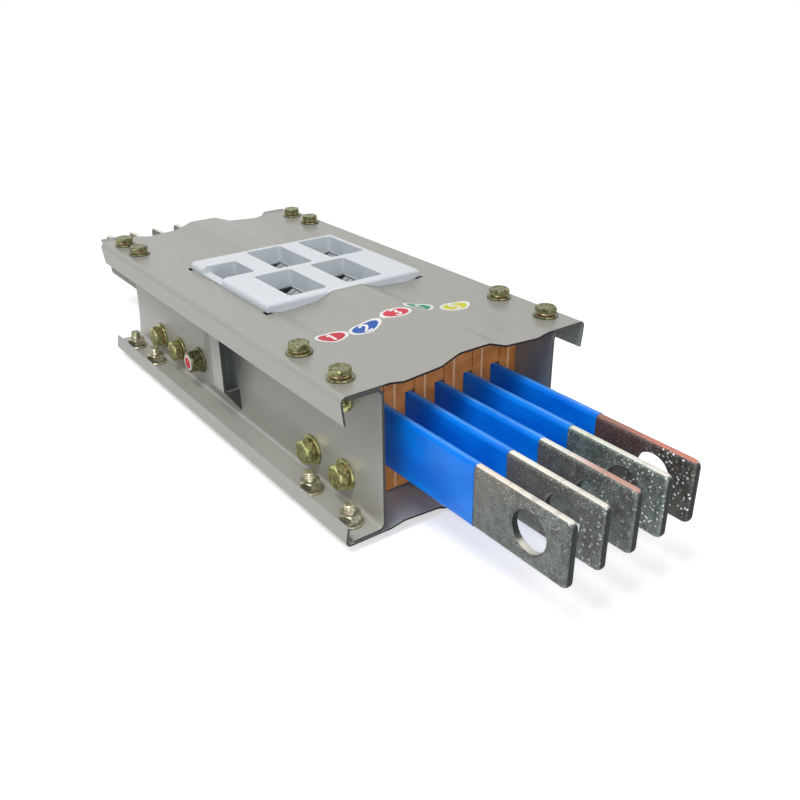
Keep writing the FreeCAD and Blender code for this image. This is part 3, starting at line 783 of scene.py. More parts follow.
@dataclass(frozen=True)
class PrintedLabel(Finish):
    """A printed oval with a white border."""

    slot: ClassVar[Slot] = Slot.PAINT
    ink: Colour = srgb(200, 30, 50)
    centre: Point = (0.0, 0.0, 0.0)
    weights: Point = (1.0, 1.0, 0.0)
    border: float = 0.78
    border_tone: Colour = srgb(226, 226, 224)

    def shade(self, graph: Graph) -> dict[str | int, Operand]:
        """Mixes the ink inside its border.

        Args:
            graph: The material's node tree.

        Returns:
            The values of the Principled shader's sockets.
        """
        place = graph.place()
        reach = graph.distance(place, self.centre, self.weights)
        worn = graph.noise(place, 1.4, 2.0)
        inked = reach.step(self.border + 0.03, self.border)
        colour = inked.blend(self.border_tone, (0.9 + worn * 0.2) * self.ink)
        return {"Base Color": colour, "Roughness": 0.5}


@dataclass(frozen=True)
class PlainInk(Finish):
    """The pale ink of the numbers."""

    tone: Colour = srgb(236, 232, 230)

    def shade(self, graph: Graph) -> dict[str | int, Operand]:
        """Mixes the slightly uneven ink.

        Args:
            graph: The material's node tree.

        Returns:
            The values of the Principled shader's sockets.
        """
        worn = graph.noise(graph.place(), 1.0, 2.0)
        return {"Base Color": (0.92 + worn * 0.14) * self.tone, "Roughness": 0.4}


def add_object(name: str, data: bpy.types.ID) -> bpy.types.Object:
    """Adds an object to the scene.

    Args:
        name: Its name.
        data: Its mesh, lamp or camera.

    Returns:
        The object.
    """
    made = bpy.data.objects.new(name, data)
    bpy.context.scene.collection.objects.link(made)
    return made


@dataclass
class Form:
    """A mesh being built, in millimetres of the frame."""

    points: list[Vector] = field(default_factory=list)
    faces: list[tuple[int, ...]] = field(default_factory=list)

    def add_rings(
        self,
        rings: Sequence[Sequence[Vector]],
        open_band: bool = False,
        loop: bool = False,
        capped: bool = True,
    ) -> None:
        """Adds a skin over rings of points, with the same count in each.

        Args:
            rings: The rings, in order.
            open_band: Whether each ring stays open.
            loop: Whether the last ring joins the first.
            capped: Whether closed rings that don't loop get a face at both ends.
        """
        base = len(self.points)
        count = len(rings[0])
        for ring in rings:
            self.points.extend(Vector(point) for point in ring)
        spans = len(rings) if loop else len(rings) - 1
        for row in range(spans):
            here = base + row * count
            there = base + ((row + 1) % len(rings)) * count
            for step in range(count - 1 if open_band else count):
                after = (step + 1) % count
                self.faces.append((here + step, here + after, there + after, there + step))
        if capped and not loop and not open_band:
            self.faces.append(tuple(reversed(range(base, base + count))))
            last = base + (len(rings) - 1) * count
            self.faces.append(tuple(range(last, last + count)))

    def build(
        self,
        name: str,
        finish: Finish,
        replaced: Sequence[str] = (),
        crease: float = 32.0,
    ) -> bpy.types.Object:
        """Turns the form into a piece that rides on the section.

        Args:
            name: The piece's name.
            finish: Its finish.
            replaced: The CAD nodes that it stands for.
            crease: The angle in degrees above which an edge stays sharp.

        Returns:
            The piece.
        """
        mesh = bpy.data.meshes.new(name)
        mesh.from_pydata([tuple(point * MM) for point in self.points], [], self.faces)
        mesh.materials.append(finish.material())
        for face in mesh.polygons:
            face.use_smooth = True
        mesh.set_sharp_from_angle(angle=math.radians(crease))
        mesh.update()
        piece = add_object(name, mesh)
        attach(piece, "root")
        if replaced:
            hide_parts(*replaced)
        LOG.info("piece %s: %d faces", name, len(mesh.polygons))
        return piece


def polar(place: Matrix, radius: float, angle: float, height: float) -> Vector:
    """Returns the point at a radius and an angle in radians about the z axis of a place."""
    return place @ Vector((radius * math.cos(angle), radius * math.sin(angle), height))


def circle(place: Matrix, radius: float, height: float, steps: int = 48) -> list[Vector]:
    """Returns a ring of points about the z axis of a place."""
    return [polar(place, radius, 2 * math.pi * step / steps, height) for step in range(steps)]


def rounded_outline(half: float, half_height: float, corner: float, facets: int) -> list[Span]:
    """Works out an upright rectangle with rounded corners, about the middle of the bars.

    Args:
        half: Half its width.
        half_height: Half its height.
        corner: The radius of its corners.
        facets: The facets of each corner.

    Returns:
        Its points, as the distance from the middle line and the height.
    """
    out, up = half - corner, half_height - corner
    points = []
    for quarter, (side, rise) in enumerate(((1, 1), (-1, 1), (-1, -1), (1, -1))):
        for step in range(facets + 1):
            angle = math.radians(quarter * 90 + step * 90 / facets)
            height = MIDDLE + rise * up + corner * math.sin(angle)
            points.append((side * out + corner * math.cos(angle), height))
    return points


def cross_section(x: float, line: float, outline: Sequence[Span]) -> list[Vector]:
    """Returns an outline of y and z as a ring across the section, with its y from a bar's line."""
    return [Vector((x, line + y, z)) for y, z in outline]


@dataclass(frozen=True)
class Hexagon:
    """A chamfered hexagon about the z axis of its seat."""

    flats: float
    low: float
    high: float
    chamfer_low: bool = True
    crown_share: float = 0.94
    chamfer_slope: float = 0.577
    steps: int = 48

    def _radius(self, angle: float, limit: float) -> float:
        """Returns the radius at an angle, at most the chamfer's."""
        sector = (angle + math.pi / 6) % (math.pi / 3) - math.pi / 6
        return min(self.flats / 2 / math.cos(sector), limit)

    def levels(self) -> list[Span]:
        """Works out the levels of the outer skin.

        Returns:
            Each level's height and the radius of the chamfer there.
        """
        corner = self.flats / math.sqrt(3)
        small = self.flats / 2 * self.crown_share
        drops = (0.0, 0.25, 0.5, 0.8, (corner - small) * 0.6)
        rows = [(self.low, corner + 1.0)]
        if self.chamfer_low:
            rows = [(self.low + drop, small + drop / self.chamfer_slope) for drop in drops]
        rows += [(self.high - drop, small + drop / self.chamfer_slope) for drop in reversed(drops)]
        return rows

    def rings(self, place: Matrix) -> list[list[Vector]]:
        """Works out the rings of the outer skin.

        Args:
            place: The frame of the seat.

        Returns:
            The rings, from the lowest.
        """
        made = []
        for height, limit in self.levels():
            ring = []
            for step in range(self.steps):
                angle = 2 * math.pi * step / self.steps
                ring.append(polar(place, self._radius(angle, limit), angle, height))
            made.append(ring)
        return made


@dataclass(frozen=True)
class Bolt:
    """One kind of bolt.

    Heights run outwards from the face that its washer or head seats on, angles are in degrees, and
    the dish in its head has radii that are shares of the flats.
    """

    flats: float
    radius: float
    head: Span
    tip: float
    washer: Span | None = None
    washer_radius: float = 8.5
    spring: Span | None = None
    nut: Span | None = None
    dish: float = 0.3
    dish_rim: float = 0.36
    dish_floor: float = 0.31
    shank_share: float = 0.97
    shank_gap: float = 0.05
    pitch: float = 1.25
    rows_per_pitch: int = 6
    thread_depth: float = 0.62
    tip_taper: float = 0.9
    tip_drop: float = 0.5
    spring_gap: float = 12.0
    spring_start: float = 40.0
    spring_lift: float = 0.3
    spring_steps: int = 40

    def add_head(self, form: Form, place: Matrix) -> None:
        """Adds the chamfered head with its shallow dish, and the shank with its thread.

        Args:
            form: The mesh that it goes into.
            place: The frame of the seat.
        """
        low, high = self.head
        rings = Hexagon(self.flats, low, high, chamfer_low=False).rings(place)
        rings.append(circle(place, self.flats * self.dish_rim, high))
        rings.append(circle(place, self.flats * self.dish_floor, high - self.dish))
        form.add_rings(rings)
        self._add_thread(form, place)

    def _add_thread(self, form: Form, place: Matrix, steps: int = 24) -> None:
        """Adds the shank, threaded outside the nut.

        Args:
            form: The mesh that it goes into.
            place: The frame of the seat.
            steps: The points round the shank.
        """
        start = self.nut[0] if self.nut else self.tip
        rings = [circle(place, self.radius * self.shank_share, self.head[0] - self.shank_gap, steps)]
        rows = max(1, round(abs(start - self.tip) / self.pitch * self.rows_per_pitch))
        for row in range(rows + 1):
            height = start + (self.tip - start) * row / rows
            fade = min(1.0, abs(height - self.tip) / self.tip_taper)
            ring = []
            for step in range(steps):
                turn = step / steps
                phase = (height / self.pitch - turn) % 1.0
                depth = self.thread_depth * abs(2 * phase - 1) + (1 - fade) * self.tip_drop
                ring.append(polar(place, self.radius - depth, 2 * math.pi * turn, height))
            rings.append(ring)
        form.add_rings(list(reversed(rings)))

    def add_washer(self, form: Form, place: Matrix) -> None:
        """Adds the flat washer with its rounded rim.

        Args:
            form: The mesh that it goes into.
            place: The frame of the seat.
        """
        low, high = self.washer
        rim = self.washer_radius
        ease = min(0.5, (high - low) / 3)
        hole = self.radius + 0.3
        profile = (
            (hole, low),
            (rim - ease, low),
            (rim, low + ease),
            (rim, high - ease),
            (rim - ease * 0.4, high - ease * 0.3),
            (rim - ease * 1.6, high),
            (hole, high),
        )
        form.add_rings([circle(place, radius, height) for radius, height in profile], loop=True)

    def add_spring(self, form: Form, place: Matrix) -> None:
        """Adds the spring washer, split by a gap whose lips stand off from each other.

        Args:
            form: The mesh that it goes into.
            place: The frame of the seat.
        """
        low, high = self.spring
        inner = self.radius + 0.2
        outer = self.flats / 2 + 0.1
        corners = (
            (inner, low + 0.16),
            (outer - 0.25, low + 0.16),
            (outer, low + 0.45),
            (outer, high - 0.45),
            (outer - 0.25, high - 0.16),
            (inner, high - 0.16),
        )
        rings = []
        for step in range(self.spring_steps + 1):
            share = step / self.spring_steps
            turn = self.spring_gap / 2 + share * (360 - self.spring_gap) + self.spring_start
            angle = math.radians(turn)
            lift = (share - 0.5) * self.spring_lift
            rings.append([polar(place, radius, angle, height + lift) for radius, height in corners])
        form.add_rings(rings)

    def add_nut(self, form: Form, place: Matrix) -> None:
        """Adds the nut, chamfered on both faces.

        Args:
            form: The mesh that it goes into.
            place: The frame of the seat.
        """
        low, high = sorted(self.nut)
        mouth = self.radius + 0.5
        bore = self.radius - 0.2
        rings = Hexagon(self.flats, low, high).rings(place)
        for radius, height in ((mouth, high), (bore, high - 0.5), (bore, low + 0.5), (mouth, low)):
            rings.append(circle(place, radius, height))
        form.add_rings(rings, loop=True)


@dataclass
class BoltRow:
    """A row of like bolts that stands for its CAD nodes."""

    prefix: str
    bolt: Bolt
    seats: tuple[Matrix, ...]
    finish: Finish
    heads_replace: tuple[str, ...]
    washers_replace: tuple[str, ...] = ()
    nuts_replace: tuple[str, ...] = ()
    spring_finish: Finish = YellowZinc("spring_zinc", olive=srgb(128, 112, 84), straw=srgb(190, 160, 124))
    washer_turn: float = 17.0

    def _add(
        self,
        words: str,
        add: Callable[[Form, Matrix], None],
        finish: Finish,
        replaced: Sequence[str],
        turn: float,
    ) -> None:
        """Builds one kind of piece at every seat.

        Args:
            words: The first words of the piece's name.
            add: The method that adds one of them.
            finish: Their finish.
            replaced: The CAD nodes that they stand for.
            turn: How far each is turned against the one before, in degrees.
        """
        form = Form()
        for index, seat in enumerate(self.seats):
            add(form, seat @ Matrix.Rotation(math.radians(turn * index), 4, "Z"))
        form.build(f"{words}_{self.prefix}", finish, replaced)

    def build(self) -> None:
        """Builds the heads and nuts, which keep the turn of the CAD hexagons, and the washers."""
        bolt = self.bolt
        self._add("hex_heads", bolt.add_head, self.finish, self.heads_replace, 0.0)
        if bolt.washer:
            replaced = self.washers_replace
            self._add("round_washers", bolt.add_washer, self.finish, replaced, self.washer_turn)
        if bolt.spring:
            self._add("spring_washers", bolt.add_spring, self.spring_finish, (), self.washer_turn)
        if bolt.nut:
            self._add("hex_nuts", bolt.add_nut, self.finish, self.nuts_replace, 0.0)


@dataclass
class Fasteners:
    """All bolts of the section, in the places of the CAD rows."""

    flange_line: float = 82.0
    top_places: tuple[float, ...] = (168.0, 122.0, -137.0, -170.0)
    bottom_places: tuple[float, ...] = (173.0, 126.0, -134.0, -179.0)
    cover_bolt: Bolt = Bolt(
        flats=13.0,
        radius=4.0,
        head=(3.2, 6.9),
        tip=-16.0,
        washer=(0.0, 1.6),
        spring=(1.6, 3.2),
        nut=(-3.5, -10.0),
    )
    lower_bolt: Bolt = Bolt(
        flats=13.0,
        radius=4.0,
        head=(0.0, 5.3),
        tip=-17.6,
        washer=(-5.1, -3.5),
        nut=(-5.1, -11.6),
    )
    side_bolt: Bolt = Bolt(
        flats=16.0,
        radius=5.0,
        head=(3.8, 9.0),
        tip=-13.0,
        washer=(0.0, 2.0),
        washer_radius=10.5,
        spring=(2.0, 3.8),
    )
    earth_bolt: Bolt = Bolt(
        flats=16.0,
        radius=5.0,
        head=(2.0, 11.0),
        tip=-13.0,
        washer=(0.0, 2.0),
        washer_radius=10.5,
        nut=(-2.0, -9.0),
    )
    badge_radius: float = 6.6
    badge_ink: Colour = srgb(206, 30, 46)
    plating: YellowZinc = YellowZinc("yellow_zinc_plating")
    dull: YellowZinc = YellowZinc("top_zinc")
    # Lighter copies of the plating: painted light for the side bolts and for the bottom nuts, which sit
    # in shade.
    bright: YellowZinc = YellowZinc("bright_zinc", olive=srgb(126, 130, 84), straw=srgb(208, 206, 142))
    pale: YellowZinc = YellowZinc("lightened_bottom_zinc", olive=srgb(150, 150, 118), straw=srgb(206, 200, 178))

    @staticmethod
    def _seat(x: float, y: float, z: float, facing: Facing) -> Matrix:
        """Returns the frame of a seat, with its z in the direction that the head looks in."""
        return Matrix.Translation((x, y, z)) @ Matrix.Rotation(facing.value, 4, "X")

    def _cover_rows(self, side: Side) -> None:
        """Builds the upper and lower rows of one side.

        Args:
            side: The side.
        """
        y = side.value * self.flange_line
        levels = (
            ("top", self.cover_bolt, self.top_places, ROOF, Facing.UP, self.dull),
            ("bottom", self.lower_bolt, self.bottom_places, LIFT, Facing.DOWN, self.pale),
        )
        for level, bolt, places, height, facing, finish in levels:
            seats = tuple(self._seat(x, y, height, facing) for x in places)
            names = [f"{level}_{kind}_{side.word}" for kind in ("bolts", "washers", "nuts")]
            replaced = [(name,) for name in names]
            BoltRow(f"{level}_{side.word}", bolt, seats, finish, *replaced).build()

    def _side_row(self, side: Side) -> None:
        """Builds the spacer bolts of one side.

        Args:
            side: The side.
        """
        y = side.value * WEB_LINE
        facing = Facing[side.name]
        seats = tuple(self._seat(x, y, z, facing) for x in SIDE_BOLT_PLACES for z in SIDE_BOLT_HEIGHTS)
        heads, washers = (f"side_{kind}_{side.word}" for kind in ("bolts", "washers"))
        # The side bolts take the lightened copy of the plating, painted light.
        BoltRow(f"side_{side.word}", self.side_bolt, seats, self.bright, (heads,), (washers,)).build()

    def _earth_row(self) -> None:
        """Builds the earth bolt with its badge."""
        x, z = EARTH_PLACE
        seat = self._seat(x, -WEB_LINE, z, Facing.LEFT)
        replaced = (("earth_bolt",), ("earth_washer",), ("earth_nut",))
        BoltRow("earth", self.earth_bolt, (seat,), self.plating, *replaced).build()
        self._add_badge(seat)

    def _add_badge(self, seat: Matrix) -> None:
        """Adds the round red badge with a pale border on the earth bolt's head.

        Args:
            seat: The frame of the bolt's seat.
        """
        high = self.earth_bolt.head[1]
        radius = self.badge_radius
        profile = (
            (radius - 0.2, high - 0.1),
            (radius, high + 0.1),
            (radius - 0.3, high + 0.3),
            (0.8, high + 0.32),
        )
        form = Form()
        form.add_rings([circle(seat, r, h) for r, h in profile])
        x, z = EARTH_PLACE
        weights = (1.0 / radius, 0.0, 1.0 / radius)
        ink = PrintedLabel("badge_red", self.badge_ink, (x, 0.0, z), weights, border=0.72)
        form.build("earth_badge", ink)

    def build(self, nodes: Nodes) -> None:
        """Builds every row and the earth bolt.

        Args:
            nodes: The CAD nodes by name. Those that the rows stand for get the plating as well.
        """
        for name, node in nodes.items():
            if any(word in name for word in ("bolt", "washer", "nut")):
                self.plating.coat(node)
        for side in Side:
            self._cover_rows(side)
            self._side_row(side)
        self._earth_row()


@dataclass(frozen=True)
class PhaseLabel:
    """One oval label that follows the cover, with a plain number."""

    number: int
    ink: Colour
    centre: Span
    half_length: float = 12.0
    half_width: float = 7.8
    thickness: float = 0.16
    rings: int = 16
    steps: int = 72
    number_height: float = 9.6
    number_width: float = 9.12
    number_relief: float = 0.12
    stroke: float = 1.9
    stroke_piece: float = 0.8

    # The path of each number in shares of its width and height, from its middle.
    STROKES: ClassVar[dict[int, tuple[Span, ...]]] = {
        1: ((-0.2, 0.28), (0.06, 0.5), (0.06, -0.5)),
        2: (
            (-0.28, 0.26),
            (-0.16, 0.46),
            (0.1, 0.5),
            (0.28, 0.3),
            (0.2, 0.05),
            (-0.3, -0.5),
            (0.3, -0.5),
        ),
        3: (
            (-0.26, 0.42),
            (0.04, 0.5),
            (0.26, 0.28),
            (0.02, 0.04),
            (0.28, -0.2),
            (0.06, -0.5),
            (-0.28, -0.4),
        ),
        4: ((0.16, -0.5), (0.16, 0.5), (-0.3, -0.16), (0.34, -0.16)),
        5: (
            (0.26, 0.5),
            (-0.22, 0.5),
            (-0.26, 0.06),
            (0.08, 0.12),
            (0.28, -0.16),
            (0.06, -0.5),
            (-0.28, -0.42),
        ),
    }

    def _local(self, right: float, up: float) -> Span:
        """Returns a spot on the cover, as x and y, from the label's own directions."""
        return self.centre[0] - up, self.centre[1] + right

    def _add_oval(self, form: Form, surface: "CoverSurface") -> None:
        """Adds the label's film.

        Args:
            form: The mesh that it goes into.
            surface: The cover that it lies on.
        """
        rows = []
        for row in range(self.rings + 1):
            share = max(0.001, 1 - row / self.rings)
            ring = []
            for step in range(self.steps):
                angle = -2 * math.pi * step / self.steps
                right = self.half_length * share * math.cos(angle)
                up = self.half_width * share * math.sin(angle)
                ring.append(surface.drop(*self._local(right, up), self.thickness))
            rows.append(ring)
        foot = [surface.drop(point.x, point.y, 0.02) for point in rows[0]]
        form.add_rings([foot, *rows], capped=False)

    def _add_number(self, form: Form, surface: "CoverSurface") -> None:
        """Adds the number as a ribbon on the film.

        Args:
            form: The mesh that it goes into.
            surface: The cover under the film.
        """
        strokes = self.STROKES[self.number]
        path = [Vector((x * self.number_width, y * self.number_height)) for x, y in strokes]
        fine = [path[0]]
        for start, end in zip(path, path[1:]):
            pieces = max(2, round((end - start).length / self.stroke_piece))
            fine += [start.lerp(end, step / pieces) for step in range(1, pieces + 1)]
        above = self.thickness + self.number_relief
        edges: tuple[list[Vector], list[Vector]] = ([], [])
        for index, point in enumerate(fine):
            before, after = fine[max(0, index - 1)], fine[min(len(fine) - 1, index + 1)]
            direction = (after - before).normalized()
            normal = Vector((-direction.y, direction.x)) * self.stroke / 2
            for edge, sign in zip(edges, (1, -1)):
                edge.append(surface.drop(*self._local(*(point + normal * sign)), above))
        form.add_rings(edges, open_band=True)

    def build(self, surface: "CoverSurface") -> None:
        """Builds the film and its number.

        Args:
            surface: The cover that they lie on.
        """
        weights = (1.0 / self.half_width, 1.0 / self.half_length, 0.0)
        finish = PrintedLabel(f"label_ink_{self.number}", self.ink, (*self.centre, 0.0), weights)
        film = Form()
        self._add_oval(film, surface)
        film.build(f"phase_label_{self.number}", finish, crease=60.0)
        number = Form()
        self._add_number(number, surface)
        number.build(f"phase_number_{self.number}", PlainInk("pale_ink"), crease=60.0)


class CoverSurface:
    """The upper face of the top cover, read from its CAD node."""

    CEILING: ClassVar[float] = 200.0

    def __init__(self, node: bpy.types.Object) -> None:
        """Builds the search tree of the cover's faces.

        Args:
            node: The cover's CAD node.
        """
        vertices = [vertex.co.copy() for vertex in node.data.vertices]
        faces = [tuple(face.vertices) for face in node.data.polygons]
        self.tree = BVHTree.FromPolygons(vertices, faces)

    def drop(self, x: float, y: float, above: float) -> Vector:
        """Finds the point above the cover at a spot, all in millimetres.

        Args:
            x: The spot's place along the bars.
            y: Its place across them.
            above: The distance above the cover.

        Returns:
            The point.
        """
        start = Vector((x, y, self.CEILING)) * MM
        hit, _, _, _ = self.tree.ray_cast(start, Vector((0.0, 0.0, -1.0)))
        height = hit.z / MM if hit is not None else ROOF
        return Vector((x, y, height + above))


@dataclass(frozen=True)
class BarBody:
    """One flat bar with drawn, rounded edges and a joint hole near each tip."""

    number: int
    line: float
    finish: Finish
    half_length: float = 321.0
    half_thickness: float = 3.0
    tip_round: float = 4.5
    least_round: float = 0.6
    tip_facets: int = 9
    edge_round: float = 2.6
    hole_place: float = 292.0
    hole_radius: float = 12.5
    chamfer: float = 1.1
    turns: int = 72
    edge_steps: int = 12

    def _outline(self, inset: float) -> list[Span]:
        """Works out the bar's outline.

        Args:
            inset: How far it is drawn in.

        Returns:
            Its points as x and z.
        """
        half, half_height = self.half_length - inset, BAR_HALF_HEIGHT - inset
        corner = max(self.least_round, self.tip_round - inset)
        return rounded_outline(half, half_height, corner, self.tip_facets)

    def _hole(self, end: End, radius: float) -> list[Span]:
        """Works out the rim of a joint hole.

        Args:
            end: The end of the bar that it is at.
            radius: The rim's radius.

        Returns:
            Its points as x and z.
        """
        centre = end.value * self.hole_place
        angles = (2 * math.pi * step / self.turns for step in range(self.turns))
        return [(centre + radius * math.cos(a), MIDDLE + radius * math.sin(a)) for a in angles]

    def _ring(self, points: Sequence[Span], across: float) -> list[Vector]:
        """Returns a flat ring at a distance from the bar's middle plane."""
        return [Vector((x, self.line + across, z)) for x, z in points]

    def _add_face(self, form: Form, across: float) -> None:
        """Adds a flat face with its two holes.

        Args:
            form: The mesh that it goes into.
            across: The face's distance from the bar's middle plane.
        """
        wide = self.hole_radius + self.chamfer
        loops = [self._ring(self._outline(self.edge_round), across)]
        loops += [self._ring(self._hole(end, wide), across) for end in (End.FAR, End.NEAR)]
        base = len(form.points)
        for loop in loops:
            form.points.extend(loop)
        for first, second, third in tessellate_polygon(loops):
            form.faces.append((base + first, base + second, base + third))

    def build(self) -> None:
        """Builds the bar."""
        form = Form()
        half, edge = self.half_thickness, self.edge_round
        rings = []
        for step in range(self.edge_steps + 1):
            angle = math.pi * step / self.edge_steps
            across = math.copysign(half - edge, -math.cos(angle)) - edge * math.cos(angle)
            rings.append(self._ring(self._outline(edge * (1 - math.sin(angle))), across))
        form.add_rings(rings, capped=False)
        bore, wide = self.hole_radius, self.hole_radius + self.chamfer
        radii = (wide, bore, bore, wide)
        depths = (-half, -half + self.chamfer, half - self.chamfer, half)
        for end in (End.FAR, End.NEAR):
            rims = [self._ring(self._hole(end, r), d) for r, d in zip(radii, depths)]
            form.add_rings(rims, capped=False)
        for across in (-half, half):
            self._add_face(form, across)
        form.build(f"flat_bar_{self.number}", self.finish, (f"busbar_{self.number}",))


@dataclass
class BarPack:
    """The five bars and their sleeves."""

    sleeve_half: float = 250.0
    half_thickness: float = 3.42
    half_height: float = BAR_HALF_HEIGHT + 0.4
    corner: float = 3.0
    least_corner: float = 0.3
    corner_facets: int = 6
    wall: float = 0.4
    wave_height: float = 0.10
    station: float = 4.0
    window_gap: float = 3.0
    window_floor: float = 63.0
    film: ShrunkSleeve = ShrunkSleeve("sleeve_film")
    bars: tuple[TinnedBar, ...] = (
        TinnedBar("bar_tin_1", crown=srgb(240, 226, 212), flecks=0.15),
        TinnedBar(
            "bar_tin_2",
            dark=srgb(80, 80, 76),
            crown=srgb(248, 240, 226),
            flecks=0.6,
            fleck_start=296.0,
        ),
        TinnedBar(
            "bar_tin_3",
            crown_tip=srgb(196, 150, 138),
            blush_share=0.2,
            flecks=0.3,
            fleck_start=296.0,
        ),
        TinnedBar(
            "bar_tin_4",
            light=srgb(132, 144, 138),
            dark=srgb(78, 90, 86),
            crown=srgb(220, 226, 206),
            blush_share=0.0,
            flecks=1.0,
            fleck_start=270.0,
        ),
        TinnedBar(
            "bar_tin_5",
            light=srgb(98, 94, 90),
            dark=srgb(50, 48, 46),
            crown=srgb(160, 112, 100),
            crown_tip=srgb(206, 128, 112),
            blush=srgb(112, 78, 68),
            blush_share=0.7,
            flecks=1.0,
            fleck_start=276.0,
        ),
    )

    def _section(self, grow: float) -> list[Span]:
        """Works out the rounded outline of a sleeve.

        Args:
            grow: How far it stands outside the sleeve's skin, below 0 for its inner side.

        Returns:
            Its points as y and z, with y from the bar's line.
        """
        half, half_height = self.half_thickness + grow, self.half_height + grow
        corner = max(self.least_corner, self.corner + grow)
        return rounded_outline(half, half_height, corner, self.corner_facets)

    def _wave(self, x: float, line: float) -> float:
        """Returns how far the film stands off at a place along the bar."""
        return self.wave_height * math.sin(x * 0.21 + line) * math.sin(x * 0.057 + line * 0.3)

    def _add_tube(self, form: Form, line: float, start: float, end: float) -> None:
        """Adds a closed length of sleeve.

        Args:
            form: The mesh that it goes into.
            line: The bar's place across the section.
            start: The place along it where the length starts.
            end: The place where it ends.
        """
        stations = max(2, round(abs(end - start) / self.station))
        outer, inner = [], []
        for index in range(stations + 1):
            x = start + (end - start) * index / stations
            swell = self._wave(x, line)
            skin = []
            for y, z in self._section(0.0):
                skin.append(Vector((x, line + y, z + swell * (z - MIDDLE) / BAR_HALF_HEIGHT)))
            outer.append(skin)
            inner.append(cross_section(x, line, self._section(-self.wall)))
        form.add_rings([*outer, *reversed(inner)], loop=True)

    def _add_trough(self, form: Form, line: float, start: float, end: float) -> None:
        """Adds the part under a jaw, open at its top.

        Args:
            form: The mesh that it goes into.
            line: The bar's place across the section.
            start: The place along it where the length starts.
            end: The place where it ends.
        """
        lower = [(y, z) for y, z in self._section(0.0) if z < MIDDLE]
        half = self.half_thickness
        band = [(-half, self.window_floor), *lower, (half, self.window_floor)]
        floor = MIDDLE - self.half_height + self.wall
        inside = [(y * (1 - self.wall / half), max(z, floor)) for y, z in band]
        outline = [*band, *reversed(inside)]
        form.add_rings([cross_section(x, line, outline) for x in (start, end)])

    def _add_sleeve(self, form: Form, line: float, jaw: Span) -> None:
        """Adds a sleeve with its window under the contact jaw.

        Args:
            form: The mesh that it goes into.
            line: The bar's place across the section.
            jaw: Where the jaw starts and ends along the bar.
        """
        start, end = jaw[0] - self.window_gap, jaw[1] + self.window_gap
        self._add_tube(form, line, -self.sleeve_half, start)
        self._add_trough(form, line, start, end)
        self._add_tube(form, line, end, self.sleeve_half)

    def build(self, nodes: Nodes) -> None:
        """Builds the sleeves and the bars.

        Args:
            nodes: The CAD nodes by name. Those that these pieces stand for get their finishes as well.
        """
        for number, (line, jaw, finish) in enumerate(zip(BAR_LINES, JAW_PLACES, self.bars), 1):
            sleeve = Form()
            self._add_sleeve(sleeve, line, jaw)
            sleeve.build(f"shrunk_sleeve_{number}", self.film, (f"bar_sleeve_{number}",))
            self.film.coat(nodes[f"bar_sleeve_{number}"])
            finish.coat(nodes[f"busbar_{number}"])
            BarBody(number, line, finish).build()


class WeldGroup:
    """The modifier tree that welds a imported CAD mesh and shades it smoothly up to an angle."""

    _made: ClassVar[bpy.types.NodeTree | None] = None

    @classmethod
    def tree(cls, reach: float = 0.01) -> bpy.types.NodeTree:
        """Makes the shared tree at its first use.

        Args:
            reach: The distance in millimetres within which points are welded.

        Returns:
            The node tree.
        """
        if cls._made is not None:
            return cls._made
        tree = bpy.data.node_groups.new("weld_and_smooth", "GeometryNodeTree")
        for direction in ("INPUT", "OUTPUT"):
            tree.interface.new_socket("Geometry", in_out=direction, socket_type="NodeSocketGeometry")
        graph = Graph(tree)
        mesh = graph.node("NodeGroupInput")
        mesh = graph.node("GeometryNodeRemoveAttribute", {}, {"Geometry": mesh, "Name": "custom_normal"})
        mesh = graph.node("GeometryNodeMergeByDistance", {}, {"Geometry": mesh, "Distance": reach * MM})
        mesh = graph.node("GeometryNodeSetShadeSmooth", {"domain": "FACE"}, {"Geometry": mesh})
        angle = graph.node("GeometryNodeInputMeshEdgeAngle")
        options = {"data_type": "FLOAT", "operation": "GREATER_THAN"}
        sharp = graph.node("FunctionNodeCompare", options, {0: angle, 1: math.radians(CREASE)})
        values = {"Geometry": mesh, "Selection": sharp, "Shade Smooth": False}
        mesh = graph.node("GeometryNodeSetShadeSmooth", {"domain": "EDGE"}, values)
        graph.node("NodeGroupOutput", {}, {"Geometry": mesh}, None)
        cls._made = tree
        return tree


def dress(node: bpy.types.Object, finish: Finish, edge: float, facets: int = 2) -> None:
    """Gives a CAD node its finish and softened edges.

    Args:
        node: The CAD node.
        finish: Its finish.
        edge: The width of its softened edges in millimetres.
        facets: The facets of each softened edge.
    """
    finish.coat(node)
    weld = node.modifiers.new("weld", "NODES")
    weld.node_group = WeldGroup.tree()
    soft = node.modifiers.new("soft_edges", "BEVEL")
    soft.limit_method = "ANGLE"
    soft.angle_limit = math.radians(CREASE)
    soft.width = edge * MM
    soft.segments = facets
    normals = node.modifiers.new("face_normals", "WEIGHTED_NORMAL")
    normals.keep_sharp = False
    LOG.info("dressed %s in %s", node.name, finish.name)


